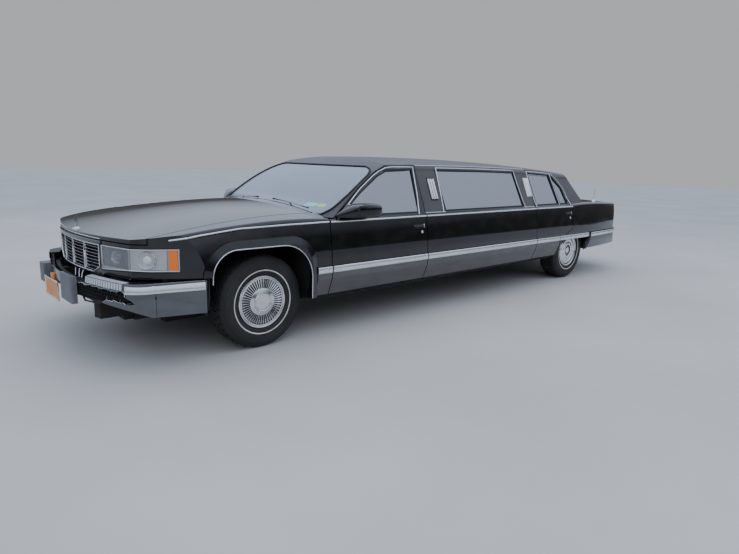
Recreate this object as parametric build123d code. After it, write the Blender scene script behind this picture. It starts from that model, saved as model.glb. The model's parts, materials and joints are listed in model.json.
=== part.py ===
from build123d import *
from functools import lru_cache
import math
import os

# Stretch limousine built from a full-size four-door sedan.
# Frame: +X forward, +Y to the left, +Z up, millimetres, origin on the ground
# under the middle of the car.

# Driving dimensions
SEDAN_WHEELBASE = 3086
STRETCH = 1524
FRONT_OVERHANG = 1140
REAR_OVERHANG = 1517
TRACK_FRONT = 1567
TRACK_REAR = 1542
SKIN_HALF_WIDTH = 980
ROOF_CROWN_Z = 1450

WHEELBASE = SEDAN_WHEELBASE + STRETCH
LENGTH = WHEELBASE + FRONT_OVERHANG + REAR_OVERHANG
FRONT_X = LENGTH / 2
REAR_X = -LENGTH / 2
AXLE_FRONT_X = FRONT_X - FRONT_OVERHANG
AXLE_REAR_X = AXLE_FRONT_X - WHEELBASE

# Heights that the whole body shares
SILL_Z = 345
STRIP_LOW_Z = 528
STRIP_HIGH_Z = 583
BELT_Z = 950
FLOOR_TOP_Z = 330
FLOOR_THICK = 25

# Clearances and thicknesses
PANEL_GAP = 8
SEAT_GAP = 0.3
DOOR_THICK = 100
FLANGE_THICK = 15
FLANGE_STEP = 20
SHEET_THICK = 14
HOOD_THICK = 24
ROOF_THICK = 45
GLASS_THICK = 6
GLASS_INSET = 10
STRIP_PROUD = 10
CLAD_PROUD = 4
MOULDING_PROUD = 5

# Fore and aft stations
HINGE_X = AXLE_FRONT_X - 595
FRONT_DOOR_REAR_X = HINGE_X - 1140
REAR_DOOR_FRONT_X = AXLE_REAR_X + 964
REAR_DOOR_REAR_X = AXLE_REAR_X + 129
HOOD_CORNER_X = AXLE_FRONT_X - 668
NOSE_X = AXLE_FRONT_X + 1030
GUARD_PROUD = 25
REAR_BUMPER_PROUD = 26
BUMPER_FACE_X = FRONT_X - GUARD_PROUD
TAIL_X = REAR_X + REAR_BUMPER_PROUD
LID_FRONT_X = AXLE_REAR_X - 385

# Wheels and tyres
TYRE_RADIUS = 355
TYRE_WIDTH = 235
RIM_RADIUS = 190.5
RIM_WIDTH = 178
COVER_RADIUS = 202
KINGPIN_OFFSET = 15

# Wheel arch openings, measured from the axle
ARCH_AHEAD = 455
ARCH_BEHIND = 385
ARCH_TOP_Z = 785
ARCH_CORNER = 190
FLARE_BAND = 58
# Flare: distance y from the middle of the car, growth from the arch opening
FLARE_RINGS = ((915, FLARE_BAND + 8), (978, FLARE_BAND), (996, 5))
REAR_ARCH_AHEAD = 440
REAR_ARCH_BEHIND = 320
REAR_ARCH_CORNER = 60

# Body sections: station x, half width at the waist, crest y, crest z, centre z
FRONT_SECTIONS = (
    (HINGE_X, 980, 905, 957, 1045),
    (AXLE_FRONT_X + 194, 980, 905, 948, 1003),
    (AXLE_FRONT_X + 700, 968, 888, 893, 925),
    (NOSE_X + 15, 936, 847, 839, 859),
)
REAR_SECTIONS = (
    (REAR_DOOR_REAR_X, 980, 905, 957, 985),
    (AXLE_REAR_X - 346, 976, 895, 968, 992),
    (AXLE_REAR_X - 996, 930, 850, 945, 968),
    (TAIL_X - 20, 850, 765, 903, 918),
)
TUCK_Z = 480
WAIST_Z = 600
SILL_TUCK = 50
UNDERCUT = 60
SHOULDER_OUT = 34
SHOULDER_DROP = 38

PARTS = {}


def side_prism(sketch, y_from, y_to):
    """Extrude a sketch drawn in x and z from y_from to y_to."""
    return extrude(Plane.XZ.offset(-y_from) * sketch, amount=y_to - y_from, dir=(0, 1, 0))


def plan_prism(sketch, z_from, z_to):
    """Extrude a sketch drawn in x and y from z_from to z_to."""
    return extrude(Plane.XY.offset(z_from) * sketch, amount=z_to - z_from, dir=(0, 0, 1))


def front_prism(sketch, x_from, x_to):
    """Extrude a sketch drawn in y and z from x_from to x_to."""
    return extrude(Plane.YZ.offset(x_from) * sketch, amount=x_to - x_from, dir=(1, 0, 0))


def block(x, y, z):
    """A box from three (low, high) pairs."""
    size = (x[1] - x[0], y[1] - y[0], z[1] - z[0])
    centre = ((x[0] + x[1]) / 2, (y[0] + y[1]) / 2, (z[0] + z[1]) / 2)
    return Pos(*centre) * Box(*size)


def widened(span, amount):
    return (span[0] - amount, span[1] + amount)


def poly(*points):
    return make_face(Polyline(*points, close=True))


def rounded(points, radius):
    face = poly(*points)
    return fillet(face.vertices(), radius)


def right_of(shape):
    """The same piece on the car's right side."""
    return mirror(shape, about=Plane.XZ)


def tube_y(radius, y_from, y_to, x, z):
    length = y_to - y_from
    return Pos(x, (y_from + y_to) / 2, z) * Rot(90, 0, 0) * Cylinder(radius, abs(length))


def tube_x(radius, x_from, x_to, y, z):
    return Pos((x_from + x_to) / 2, y, z) * Rot(0, 90, 0) * Cylinder(radius, x_to - x_from)


def solids(*shapes):
    """Pieces of one node that don't touch."""
    found = []
    for shape in shapes:
        found.extend(shape.solids())
    return Compound(children=found)


# Body volumes

def body_section(width, crest_y, crest_z, centre_z, inset):
    """Half-symmetric cross-section of the lower body, in y and z."""
    drop = UNDERCUT if inset > 0 else 0
    slope = SILL_TUCK / (TUCK_Z - SILL_Z)
    bottom = (width - SILL_TUCK - inset - drop * slope, SILL_Z - drop)
    tuck = (width - inset, TUCK_Z)
    waist = (width - inset, WAIST_Z)
    shoulder = (crest_y + SHOULDER_OUT - inset, crest_z - SHOULDER_DROP - inset)
    crest = (crest_y - inset, crest_z - inset)
    side_mid = ((waist[0] + shoulder[0]) / 2 + 8, (waist[1] + shoulder[1]) / 2)
    round_mid = ((shoulder[0] + crest[0]) / 2 + 8, (shoulder[1] + crest[1]) / 2 + 7)

    def other(point):
        return (-point[0], point[1])

    edges = [
        Line(other(bottom), bottom),
        Line(bottom, tuck),
        Line(tuck, waist),
        ThreePointArc(waist, side_mid, shoulder),
        ThreePointArc(shoulder, round_mid, crest),
        ThreePointArc(crest, (0, centre_z - inset), other(crest)),
        ThreePointArc(other(crest), other(round_mid), other(shoulder)),
        ThreePointArc(other(shoulder), other(side_mid), other(waist)),
        Line(other(waist), other(tuck)),
        Line(other(tuck), other(bottom)),
    ]
    return make_face(edges)


def nose_clip(inset):
    """Plan outline of the nose: one swept arc, round corners, then sides that open out to the arches."""
    corner = (NOSE_X - 128 - inset, 744 - inset * 0.4)
    bulge = (NOSE_X - 190 - inset, 800 - inset * 0.8)
    turn = (NOSE_X - 230 - inset, 829 - inset * 0.9)
    side = (NOSE_X - 395, 910 - inset)
    arch = (NOSE_X - 575, 990 - inset)
    back_x = HINGE_X - 200
    outline = [
        ThreePointArc((corner[0], -corner[1]), (NOSE_X - inset, 0), corner),
        ThreePointArc(corner, bulge, turn),
        Line(turn, side),
        Line(side, arch),
        Line(arch, (arch[0], 1200)),
        Line((arch[0], 1200), (back_x, 1200)),
        Line((back_x, 1200), (back_x, -1200)),
        Line((back_x, -1200), (arch[0], -1200)),
        Line((arch[0], -1200), (arch[0], -arch[1])),
        Line((arch[0], -arch[1]), (side[0], -side[1])),
        Line((side[0], -side[1]), (turn[0], -turn[1])),
        ThreePointArc((turn[0], -turn[1]), (bulge[0], -bulge[1]), (corner[0], -corner[1])),
    ]
    return plan_prism(make_face(outline), 0, 1500)


def tail_clip(inset):
    """Plan outline of the tail: a shallow arc between wide round corners."""
    corner = (TAIL_X + 60 + inset, 640 - inset * 0.5)
    side = (TAIL_X + 420 + inset, 940)
    bulge = (TAIL_X + 180 + inset, 812 - inset * 0.5)
    back_x = REAR_DOOR_REAR_X + 200
    outline = [
        ThreePointArc((corner[0], -corner[1]), (TAIL_X + inset, 0), corner),
        ThreePointArc(corner, bulge, side),
        Line(side, (side[0], 1200)),
        Line((side[0], 1200), (back_x, 1200)),
        Line((back_x, 1200), (back_x, -1200)),
        Line((back_x, -1200), (side[0], -1200)),
        Line((side[0], -1200), (side[0], -side[1])),
        ThreePointArc((side[0], -side[1]), (bulge[0], -bulge[1]), (corner[0], -corner[1])),
    ]
    return plan_prism(make_face(outline), 0, 1500)


@lru_cache(maxsize=None)
def front_volume(inset):
    faces = []
    for x, width, crest_y, crest_z, centre_z in FRONT_SECTIONS:
        faces.append(Plane.YZ.offset(x) * body_section(width, crest_y, crest_z, centre_z, inset))
    return loft(faces) & nose_clip(inset)


@lru_cache(maxsize=None)
def rear_volume(inset):
    faces = []
    for x, width, crest_y, crest_z, centre_z in REAR_SECTIONS:
        faces.append(Plane.YZ.offset(x) * body_section(width, crest_y, crest_z, centre_z, inset))
    return loft(faces) & tail_clip(inset)


@lru_cache(maxsize=None)
def mid_volume(inset):
    _, width, crest_y, crest_z, _ = FRONT_SECTIONS[0]
    face = body_section(width, crest_y, crest_z, crest_z + 20, inset)
    return front_prism(face, REAR_DOOR_REAR_X, HINGE_X)


def front_skin(outer, inner):
    return front_volume(outer) - front_volume(inner)


def mid_skin(outer, inner):
    return mid_volume(outer) - mid_volume(inner)


def rear_skin(outer, inner):
    return rear_volume(outer) - rear_volume(inner)


# Greenhouse

GLASS_BASE_Y = 930
ROOF_EDGE_Y = 738
ROOF_EDGE_Z = 1385
ROOF_PEAK_X = HINGE_X - 1598.5
ROOF_ARC = 36000
ROOF_HALF_RUN = 3200
SCREEN_PLAN_RADIUS = 2500
BACKLIGHT_PLAN_RADIUS = 3700
SCREEN_RAKE = 1.8
BACKLIGHT_RAKE = 0.95
# Screens: height z, centre-line x of the outer face
SCREEN_PROFILE = (
    (850, AXLE_FRONT_X - 291),
    (1050, AXLE_FRONT_X - 616),
    (1250, AXLE_FRONT_X - 941),
    (1350, AXLE_FRONT_X - 1161),
    (1450, AXLE_FRONT_X - 1466),
)
BACKLIGHT_PROFILE = (
    (850, AXLE_REAR_X - 458),
    (1150, AXLE_REAR_X - 173),
    (1500, AXLE_REAR_X + 160),
)


def cabin_section(inset):
    """Cross-section of the greenhouse with its tumblehome and crowned roof."""
    base_z = BELT_Z - (UNDERCUT if inset > 0 else 0)
    lean = (GLASS_BASE_Y - ROOF_EDGE_Y) / (ROOF_EDGE_Z - BELT_Z)
    base = (GLASS_BASE_Y - inset + (BELT_Z - base_z) * lean, base_z)
    rail = (ROOF_EDGE_Y + 32 - inset, ROOF_EDGE_Z - 48 - inset * 0.4)
    edge = (ROOF_EDGE_Y - 30 - inset * 0.8, ROOF_EDGE_Z + 14 - inset)
    bend = (ROOF_EDGE_Y + 14 - inset * 0.9, ROOF_EDGE_Z - 8 - inset * 0.75)

    def other(point):
        return (-point[0], point[1])

    edges = [
        Line(other(base), base),
        Line(base, rail),
        ThreePointArc(rail, bend, edge),
        ThreePointArc(edge, (0, ROOF_CROWN_Z - inset), other(edge)),
        ThreePointArc(other(edge), other(bend), other(rail)),
        Line(other(rail), other(base)),
    ]
    return make_face(edges)


@lru_cache(maxsize=None)
def behind_screen(profile, plan_radius, forward, inset):
    """Solid behind a plan-curved screen; forward is +1 for the windshield, -1 for the backlight."""
    rake = SCREEN_RAKE if forward > 0 else BACKLIGHT_RAKE
    shift = forward * inset * math.hypot(1, rake)
    half = 1200
    sweep = forward * half * half / (2 * plan_radius)
    back = profile[0][1] - forward * 5400
    faces = []
    for z, centre_x in profile:
        nose = centre_x - shift
        corner = nose - sweep
        faces.append(Plane.XY.offset(z) * make_face([
            ThreePointArc((corner, -half), (nose, 0), (corner, half)),
            Line((corner, half), (back, half)),
            Line((back, half), (back, -half)),
            Line((back, -half), (corner, -half)),
        ]))
    return loft(faces)


def behind_windshield(inset):
    return behind_screen(SCREEN_PROFILE, SCREEN_PLAN_RADIUS, 1, inset)


def ahead_of_backlight(inset):
    return behind_screen(BACKLIGHT_PROFILE, BACKLIGHT_PLAN_RADIUS, -1, inset)


@lru_cache(maxsize=None)
def cabin_body(inset):
    """Greenhouse cross-section swung along the long, shallow roof arc."""
    axis = Axis((ROOF_PEAK_X, 0, ROOF_CROWN_Z - ROOF_ARC), (0, 1, 0))
    face = Plane.YZ.offset(ROOF_PEAK_X) * cabin_section(inset)
    swing = math.degrees(ROOF_HALF_RUN / ROOF_ARC)
    return revolve(face, axis, revolution_arc=swing) + revolve(face, axis, revolution_arc=-swing)


@lru_cache(maxsize=None)
def cabin_volume(inset):
    return cabin_body(inset) & behind_windshield(inset) & ahead_of_backlight(inset)


def cabin_skin(outer, inner):
    return cabin_volume(outer) - cabin_volume(inner)


# Window outlines in x and z, at the tumblehome plane

FRONT_WINDOW = (
    (HINGE_X - 108, 962),
    (HINGE_X - 415, 1162),
    (HINGE_X - 640, 1290),
    (HINGE_X - 775, 1341),
    (FRONT_DOOR_REAR_X + 38, 1352),
    (FRONT_DOOR_REAR_X + 68, 962),
)
LONG_WINDOW = (
    (FRONT_DOOR_REAR_X - 296, 962),
    (FRONT_DOOR_REAR_X - 276, 1350),
    (REAR_DOOR_FRONT_X + 262, 1338),
    (REAR_DOOR_FRONT_X + 225, 962),
)
REAR_WINDOW = (
    (REAR_DOOR_FRONT_X - 32, 962),
    (REAR_DOOR_FRONT_X - 8, 1334),
    (AXLE_REAR_X + 462, 1312),
    (AXLE_REAR_X + 396, 962),
)
QUARTER_WINDOW = (
    (AXLE_REAR_X + 372, 962),
    (AXLE_REAR_X + 436, 1306),
    (AXLE_REAR_X + 398, 1294),
    (AXLE_REAR_X + 232, 1160),
    (AXLE_REAR_X + 172, 962),
)
FRONT_DOOR_OUTLINE = (
    (HINGE_X, SILL_Z - 5),
    (HINGE_X, BELT_Z),
    (HINGE_X - 60, BELT_Z),
    (HINGE_X - 391, 1180),
    (HINGE_X - 628, 1316),
    (HINGE_X - 765, 1367),
    (FRONT_DOOR_REAR_X, 1374),
    (FRONT_DOOR_REAR_X, SILL_Z - 5),
)
REAR_DOOR_OUTLINE = (
    (REAR_DOOR_FRONT_X, SILL_Z - 5),
    (REAR_DOOR_FRONT_X, 1356),
    (AXLE_REAR_X + 440, 1330),
    (AXLE_REAR_X + 370, 1312),
    (AXLE_REAR_X + 204, 1172),
    (REAR_DOOR_REAR_X, BELT_Z),
    (REAR_DOOR_REAR_X, 660),
    (AXLE_REAR_X + REAR_ARCH_AHEAD, STRIP_LOW_Z),
    (AXLE_REAR_X + REAR_ARCH_AHEAD, SILL_Z - 5),
)
EVERY_Y = (500, 1100)
DOOR_HINGE_Z = (540, 770)


def grown(points, amount):
    """The outline of a face, moved outward by amount, or inward when negative."""
    return offset(poly(*points), amount=amount, kind=Kind.INTERSECTION)


def arch_face(ahead, behind, top_z, corner, axle_x, grow=0):
    """A wheel arch opening with rounded upper corners, open at the bottom."""
    face = poly(
        (axle_x + ahead + grow, 100),
        (axle_x + ahead + grow, top_z + grow),
        (axle_x - behind - grow, top_z + grow),
        (axle_x - behind - grow, 100),
    )
    top = face.vertices().sort_by(Axis.Y)[-2:]
    return fillet(top, corner + grow)


def arch_flare():
    """Raised band round the front arch: a short step, then a slope out to the lip."""
    rings = [Plane.XZ.offset(-y) * front_arch(grow) for y, grow in FLARE_RINGS]
    band = loft(rings[:2], ruled=True) + loft(rings[1:], ruled=True)
    band -= side_prism(front_arch(), *EVERY_Y)
    return band - front_volume(SHEET_THICK) - block((0, FRONT_X), EVERY_Y, (0, SILL_Z))


def front_arch(grow=0):
    return arch_face(ARCH_AHEAD, ARCH_BEHIND, ARCH_TOP_Z, ARCH_CORNER, AXLE_FRONT_X, grow)


def rear_arch(grow=0):
    return arch_face(REAR_ARCH_AHEAD, REAR_ARCH_BEHIND, STRIP_LOW_Z, REAR_ARCH_CORNER,
                     AXLE_REAR_X, grow)


def side_trim(skin_outer_inner, x_from, x_to, low_z=SILL_Z):
    """Bright strip with the mirror-bright cladding below it, and the belt moulding."""
    skin = skin_outer_inner
    window = ((x_from, x_to), EVERY_Y)
    strip = skin(-STRIP_PROUD, 0) & block(*window, (STRIP_LOW_Z, STRIP_HIGH_Z))
    clad = skin(-CLAD_PROUD, 0) & block(*window, (low_z, STRIP_LOW_Z))
    return strip + clad


def belt_moulding(skin, x_from, x_to, low_z, high_z):
    return skin(-MOULDING_PROUD, 0) & block((x_from, x_to), EVERY_Y, (low_z, high_z))


# Doors

def door(outline, windows):
    """Door shell: a thin outer flange with the thick inner box set in from it."""
    x_range = (REAR_DOOR_REAR_X - 1, HINGE_X + 1)
    outer = side_prism(poly(*outline), *EVERY_Y)
    inner = side_prism(grown(outline, -FLANGE_STEP), *EVERY_Y)
    wall_y = (SKIN_HALF_WIDTH - DOOR_THICK - 5, 1100)
    frame_y = (660, 1100)
    low = mid_skin(0, FLANGE_THICK) & outer & block(x_range, wall_y, (0, BELT_Z - 1))
    low += mid_skin(0, DOOR_THICK) & inner & block(x_range, wall_y, (0, BELT_Z - 20))
    thin = cabin_body(0) - cabin_body(FLANGE_THICK)
    thick = cabin_body(0) - cabin_body(ROOF_THICK)
    frame = thin & outer & block(x_range, frame_y, (BELT_Z - 1, 1500))
    frame += thick & inner & block(x_range, frame_y, (BELT_Z - 20, 1500))
    shell = low + frame
    for window in windows:
        shell -= side_prism(poly(*window), *EVERY_Y)
    return shell


def door_hinges(front_edge_x, root_x):
    """Two hinge plates that reach behind a door's flange to its inner box."""
    plates = None
    for z in DOOR_HINGE_Z:
        plate = block((front_edge_x - FLANGE_STEP + SEAT_GAP, root_x), (868, 938), (z - 35, z + 35))
        plates = plate if plates is None else plates + plate
    return plates


def door_panes(windows):
    panes = []
    for window in windows:
        pane = cabin_body(GLASS_INSET) - cabin_body(GLASS_INSET + GLASS_THICK)
        panes.append(pane & side_prism(poly(*window), *EVERY_Y))
    return solids(*panes)


def both_sides(name, left_piece):
    PARTS[name + "_left"] = left_piece
    PARTS[name + "_right"] = right_of(left_piece)


def make_doors():
    front = door(FRONT_DOOR_OUTLINE, (FRONT_WINDOW,))
    rear = door(REAR_DOOR_OUTLINE, (REAR_WINDOW, QUARTER_WINDOW))
    both_sides("door_front", front + mirror_pod())
    both_sides("door_rear", rear)
    both_sides("door_front_glass", door_panes((FRONT_WINDOW,)))
    both_sides("door_rear_glass", door_panes((REAR_WINDOW, QUARTER_WINDOW)))
    front_outline = side_prism(poly(*FRONT_DOOR_OUTLINE), *EVERY_Y)
    rear_outline = side_prism(poly(*REAR_DOOR_OUTLINE), *EVERY_Y)
    trim = side_trim(mid_skin, FRONT_DOOR_REAR_X, HINGE_X) & front_outline
    belt = belt_moulding(mid_skin, FRONT_DOOR_REAR_X, HINGE_X, *BELT_TRIM_Z)
    both_sides("door_front_trim", solids(trim, belt))
    trim = side_trim(mid_skin, REAR_DOOR_REAR_X, REAR_DOOR_FRONT_X) & rear_outline
    belt = belt_moulding(mid_skin, REAR_DOOR_REAR_X, REAR_DOOR_FRONT_X, *BELT_TRIM_Z)
    both_sides("door_rear_trim", solids(trim, belt))


BELT_TRIM_Z = (922, 938)
# Bright line along the fender's crease: station x, top z
FENDER_MOULDING = (
    (HINGE_X + PANEL_GAP, 938),
    (AXLE_FRONT_X + 220, 929),
    (AXLE_FRONT_X + 500, 901),
    (AXLE_FRONT_X + 705, 872),
)
FENDER_MOULDING_DROP = 13
MIRROR_FRONT_X = HINGE_X - 85
MIRROR_LENGTH = 330
MIRROR_Z = 1018
MIRROR_MIDDLE = (MIRROR_FRONT_X - 190, 985, MIRROR_Z)
MIRROR_SWELL = (205, 135, 64)


def mirror_pod():
    """Door mirror: a tapered pod on a short foot at the front of the door glass."""
    outline = poly(
        (MIRROR_FRONT_X, 900),
        (MIRROR_FRONT_X - 110, 1060),
        (MIRROR_FRONT_X - 250, 1100),
        (MIRROR_FRONT_X - MIRROR_LENGTH, 1090),
        (MIRROR_FRONT_X - MIRROR_LENGTH, 925),
        (MIRROR_FRONT_X - 200, 905),
    )
    pod = plan_prism(outline, MIRROR_Z - 52, MIRROR_Z + 52) - cabin_body(GLASS_INSET - 2)
    pod &= Pos(*MIRROR_MIDDLE) * scale(Sphere(1), by=MIRROR_SWELL)
    return pod & side_prism(rounded((
        (MIRROR_FRONT_X + 10, MIRROR_Z - 60),
        (MIRROR_FRONT_X - 120, MIRROR_Z + 40),
        (MIRROR_FRONT_X - 250, MIRROR_Z + 52),
        (MIRROR_FRONT_X - MIRROR_LENGTH, MIRROR_Z + 45),
        (MIRROR_FRONT_X - MIRROR_LENGTH, MIRROR_Z - 52),
    ), 6), 850, 1200)


# Hood and boot lid

def hood_region(gap):
    """Plan area of the hood, which narrows to the rear; gap widens it."""
    return make_face([
        Line((HOOD_CORNER_X - gap, -745 - gap), (HOOD_CORNER_X - gap, 745 + gap)),
        Line((HOOD_CORNER_X - gap, 745 + gap), (NOSE_X + 100, HOOD_FRONT_Y + gap)),
        Line((NOSE_X + 100, HOOD_FRONT_Y + gap), (NOSE_X + 100, -HOOD_FRONT_Y - gap)),
        Line((NOSE_X + 100, -HOOD_FRONT_Y - gap), (HOOD_CORNER_X - gap, -745 - gap)),
    ])


HOOD_LIP_Z = 842
HOOD_FRONT_Y = 825
ORNAMENT_X = (NOSE_X - 44, NOSE_X - 20)
ORNAMENT_TOP_Z = 962
ORNAMENT_BLADE = (
    (ORNAMENT_X[0], ORNAMENT_TOP_Z - 60), (ORNAMENT_X[1], ORNAMENT_TOP_Z - 45),
    (ORNAMENT_X[1] - 8, ORNAMENT_TOP_Z), (ORNAMENT_X[0] + 3, ORNAMENT_TOP_Z - 6),
)
COWL_WIDTH = 32
LID_HALF_WIDTH = 650
LID_LOW_Z = 640


def lid_region(gap):
    return poly(
        (LID_FRONT_X + gap, -LID_HALF_WIDTH - gap),
        (LID_FRONT_X + gap, LID_HALF_WIDTH + gap),
        (TAIL_X - 100, LID_HALF_WIDTH + gap),
        (TAIL_X - 100, -LID_HALF_WIDTH - gap),
    )


def screen_gap_prism(extra):
    """Everything ahead of the windshield's plane, moved forward by extra."""
    return block((HOOD_CORNER_X - 300, FRONT_X), (-1100, 1100), (820, 1200)) - behind_windshield(-extra)


def make_lids():
    hood = front_skin(0, HOOD_THICK) & plan_prism(hood_region(0), HOOD_LIP_Z, 1200)
    hood = hood & screen_gap_prism(COWL_WIDTH + PANEL_GAP)
    PARTS["hood_panel"] = hood
    stem = block((ORNAMENT_X[0] + 6, ORNAMENT_X[1] - 6), (-3, 3), (850, ORNAMENT_TOP_Z - 20))
    blade = side_prism(poly(*ORNAMENT_BLADE), -4, 4)
    PARTS["hood_trim"] = stem + blade - front_volume(0)
    lid = rear_skin(0, HOOD_THICK) & plan_prism(lid_region(0), LID_LOW_Z, 1200)
    PARTS["boot_lid"] = lid


# Fixed body panels

def make_panels():
    hood_cut = plan_prism(hood_region(PANEL_GAP), HOOD_LIP_Z - PANEL_GAP, 1200)
    fender = front_skin(0, SHEET_THICK) - hood_cut
    fender = fender & block((HINGE_X + PANEL_GAP, NOSE_X + 20), (560, 1100), (SILL_Z, 1100))
    fender -= side_prism(front_arch(), *EVERY_Y)
    low_nose = block((AXLE_FRONT_X + ARCH_AHEAD - 20, NOSE_X + 50), EVERY_Y, (0, 610))
    fender -= low_nose
    fender -= lamp_zone()
    fender -= block((NOSE_X - 121, NOSE_X + 50), (300, 1100), (0, LAMP_TOP_Z))
    fender += arch_flare() - low_nose
    both_sides("front_fender", fender)

    x_range = (REAR_DOOR_FRONT_X + PANEL_GAP, FRONT_DOOR_REAR_X - PANEL_GAP)
    wall_y = (SKIN_HALF_WIDTH - DOOR_THICK - 5, 1100)
    panel = mid_skin(0, FLANGE_THICK) & block(x_range, wall_y, (SILL_Z, BELT_Z))
    inner_x = (x_range[0] + FLANGE_STEP, x_range[1] - FLANGE_STEP)
    panel += mid_skin(0, DOOR_THICK) & block(inner_x, wall_y, (SILL_Z, BELT_Z))
    panel += door_hinges(REAR_DOOR_FRONT_X, inner_x[0] + 1)
    PARTS["centre_panels"] = solids(panel, right_of(panel))

    quarter = rear_skin(0, SHEET_THICK) & block((REAR_X, REAR_DOOR_REAR_X), (0, 1100), (SILL_Z, 1100))
    mid_part = mid_skin(0, SHEET_THICK) & block(
        (REAR_DOOR_REAR_X, AXLE_REAR_X + REAR_ARCH_AHEAD), (870, 1100), (SILL_Z, BELT_Z))
    quarter += mid_part
    quarter -= side_prism(grown(REAR_DOOR_OUTLINE, PANEL_GAP), *EVERY_Y)
    quarter -= side_prism(rear_arch(), *EVERY_Y)
    quarter -= plan_prism(lid_region(PANEL_GAP), LID_LOW_Z - PANEL_GAP, 1200)
    quarter -= block((REAR_X, REAR_BUMPER_X + 2), (0, 1100), (0, STRIP_HIGH_Z))
    quarter -= block(*TAIL_LAMP_BOX)
    lid_hinge = block((LID_FRONT_X - 60, LID_FRONT_X + 60), LID_HINGE_Y, (900, 1100)) & rear_volume(
        HOOD_THICK + SEAT_GAP)
    lid_hinge += block((LID_FRONT_X + 12, LID_FRONT_X + 60), LID_HINGE_Y, (900, 1100)) & rear_volume(
        SHEET_THICK)
    quarter += lid_hinge
    both_sides("rear_quarter", quarter)


LID_HINGE_Y = (560, 600)
HOOD_HINGE_Y = (640, 690)
HOOD_HINGE_X = (HINGE_X + 100, HINGE_X + 165)
HOOD_HINGE_Z = (885, 1100)
HINGE_ROOM = 3
REAR_BUMPER_X = AXLE_REAR_X - REAR_ARCH_BEHIND - 6
TAIL_LAMP_BOX = ((REAR_X, TAIL_X + 260), (LID_HALF_WIDTH + PANEL_GAP, 1100), (620, 880))
LAMP_REAR_X = AXLE_FRONT_X + 640
LAMP_INNER_Y = 452
LAMP_TOP_Z = 812
LAMP_LOW_Z = 660
LAMP_FACE = (
    (LAMP_INNER_Y, 636), (LAMP_INNER_Y, LAMP_TOP_Z), (1100, LAMP_TOP_Z), (1100, 652), (744, LAMP_LOW_Z),
)
LAMP_DEPTH = 60
LENS_SET_IN = 5
# Lamp windows behind the bright frame: span in x, span in y, span in z
LENS_WINDOWS = (
    ((LAMP_REAR_X, NOSE_X + 50), (LAMP_INNER_Y + 14, 724), (672, LAMP_TOP_Z - 11)),
    ((AXLE_FRONT_X + 712, NOSE_X + 50), (738, 1100), (672, LAMP_TOP_Z - 11)),
    ((LAMP_REAR_X + 12, AXLE_FRONT_X + 704), (738, 1100), (666, LAMP_TOP_Z - 11)),
)


def lamp_zone():
    """Everything inside the left lamp's outline, seen from the front."""
    return front_prism(poly(*LAMP_FACE), LAMP_REAR_X, NOSE_X + 50)


# Roof, pillars and fixed glass

SCREEN_OPENING = ((-735, 965), (-612, 1362), (612, 1362), (735, 965))
SCREEN_RANGE = (HINGE_X - 800, HINGE_X + 500)
BACKLIGHT_OPENING = ((-640, 985), (-560, 1330), (560, 1330), (640, 985))
BACKLIGHT_RANGE = (REAR_X, AXLE_REAR_X + 120)


def make_greenhouse():
    shell = cabin_skin(0, ROOF_THICK) & block((REAR_X, FRONT_X), (-1100, 1100), (BELT_Z, 1500))
    for outline in (FRONT_DOOR_OUTLINE, REAR_DOOR_OUTLINE):
        shell -= side_prism(grown(outline, PANEL_GAP), -1100, 1100) - block(
            (REAR_X, FRONT_X), (-600, 600), (0, 1500))
    long_cut = side_prism(poly(*LONG_WINDOW), -1100, 1100)
    shell -= long_cut
    shell -= front_prism(poly(*SCREEN_OPENING), *SCREEN_RANGE)
    shell -= front_prism(poly(*BACKLIGHT_OPENING), *BACKLIGHT_RANGE)
    shell -= rear_volume(0)
    PARTS["roof_shell"] = shell

    pane = cabin_skin(GLASS_INSET, GLASS_INSET + GLASS_THICK)
    PARTS["windshield"] = pane & front_prism(poly(*SCREEN_OPENING), *SCREEN_RANGE)
    long_pane = pane & long_cut & block((REAR_X, FRONT_X), (600, 1100), (0, 1500))
    rear_pane = pane & front_prism(poly(*BACKLIGHT_OPENING), *BACKLIGHT_RANGE) - rear_volume(0)
    PARTS["fixed_windows"] = solids(long_pane, right_of(long_pane), rear_pane)

    # Cowl between the hood's rear edge and the windshield's foot
    cowl = front_volume(0) & block((HOOD_CORNER_X - 300, HOOD_CORNER_X + 400), (-733, 733), (930, 1100))
    cowl &= behind_windshield(-COWL_WIDTH)
    cowl -= behind_windshield(0)
    notch = block(widened(HOOD_HINGE_X, HINGE_ROOM), widened(HOOD_HINGE_Y, HINGE_ROOM), HOOD_HINGE_Z)
    notch &= front_volume(HOOD_THICK)
    cowl -= notch + right_of(notch)
    PARTS["cowl_panel"] = cowl


# Bright trim of the fixed body

OPERA_LAMP_SIZE = (96, 12, 205)
OPERA_LAMPS = (FRONT_DOOR_REAR_X - 182, REAR_DOOR_FRONT_X + 62)


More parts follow.
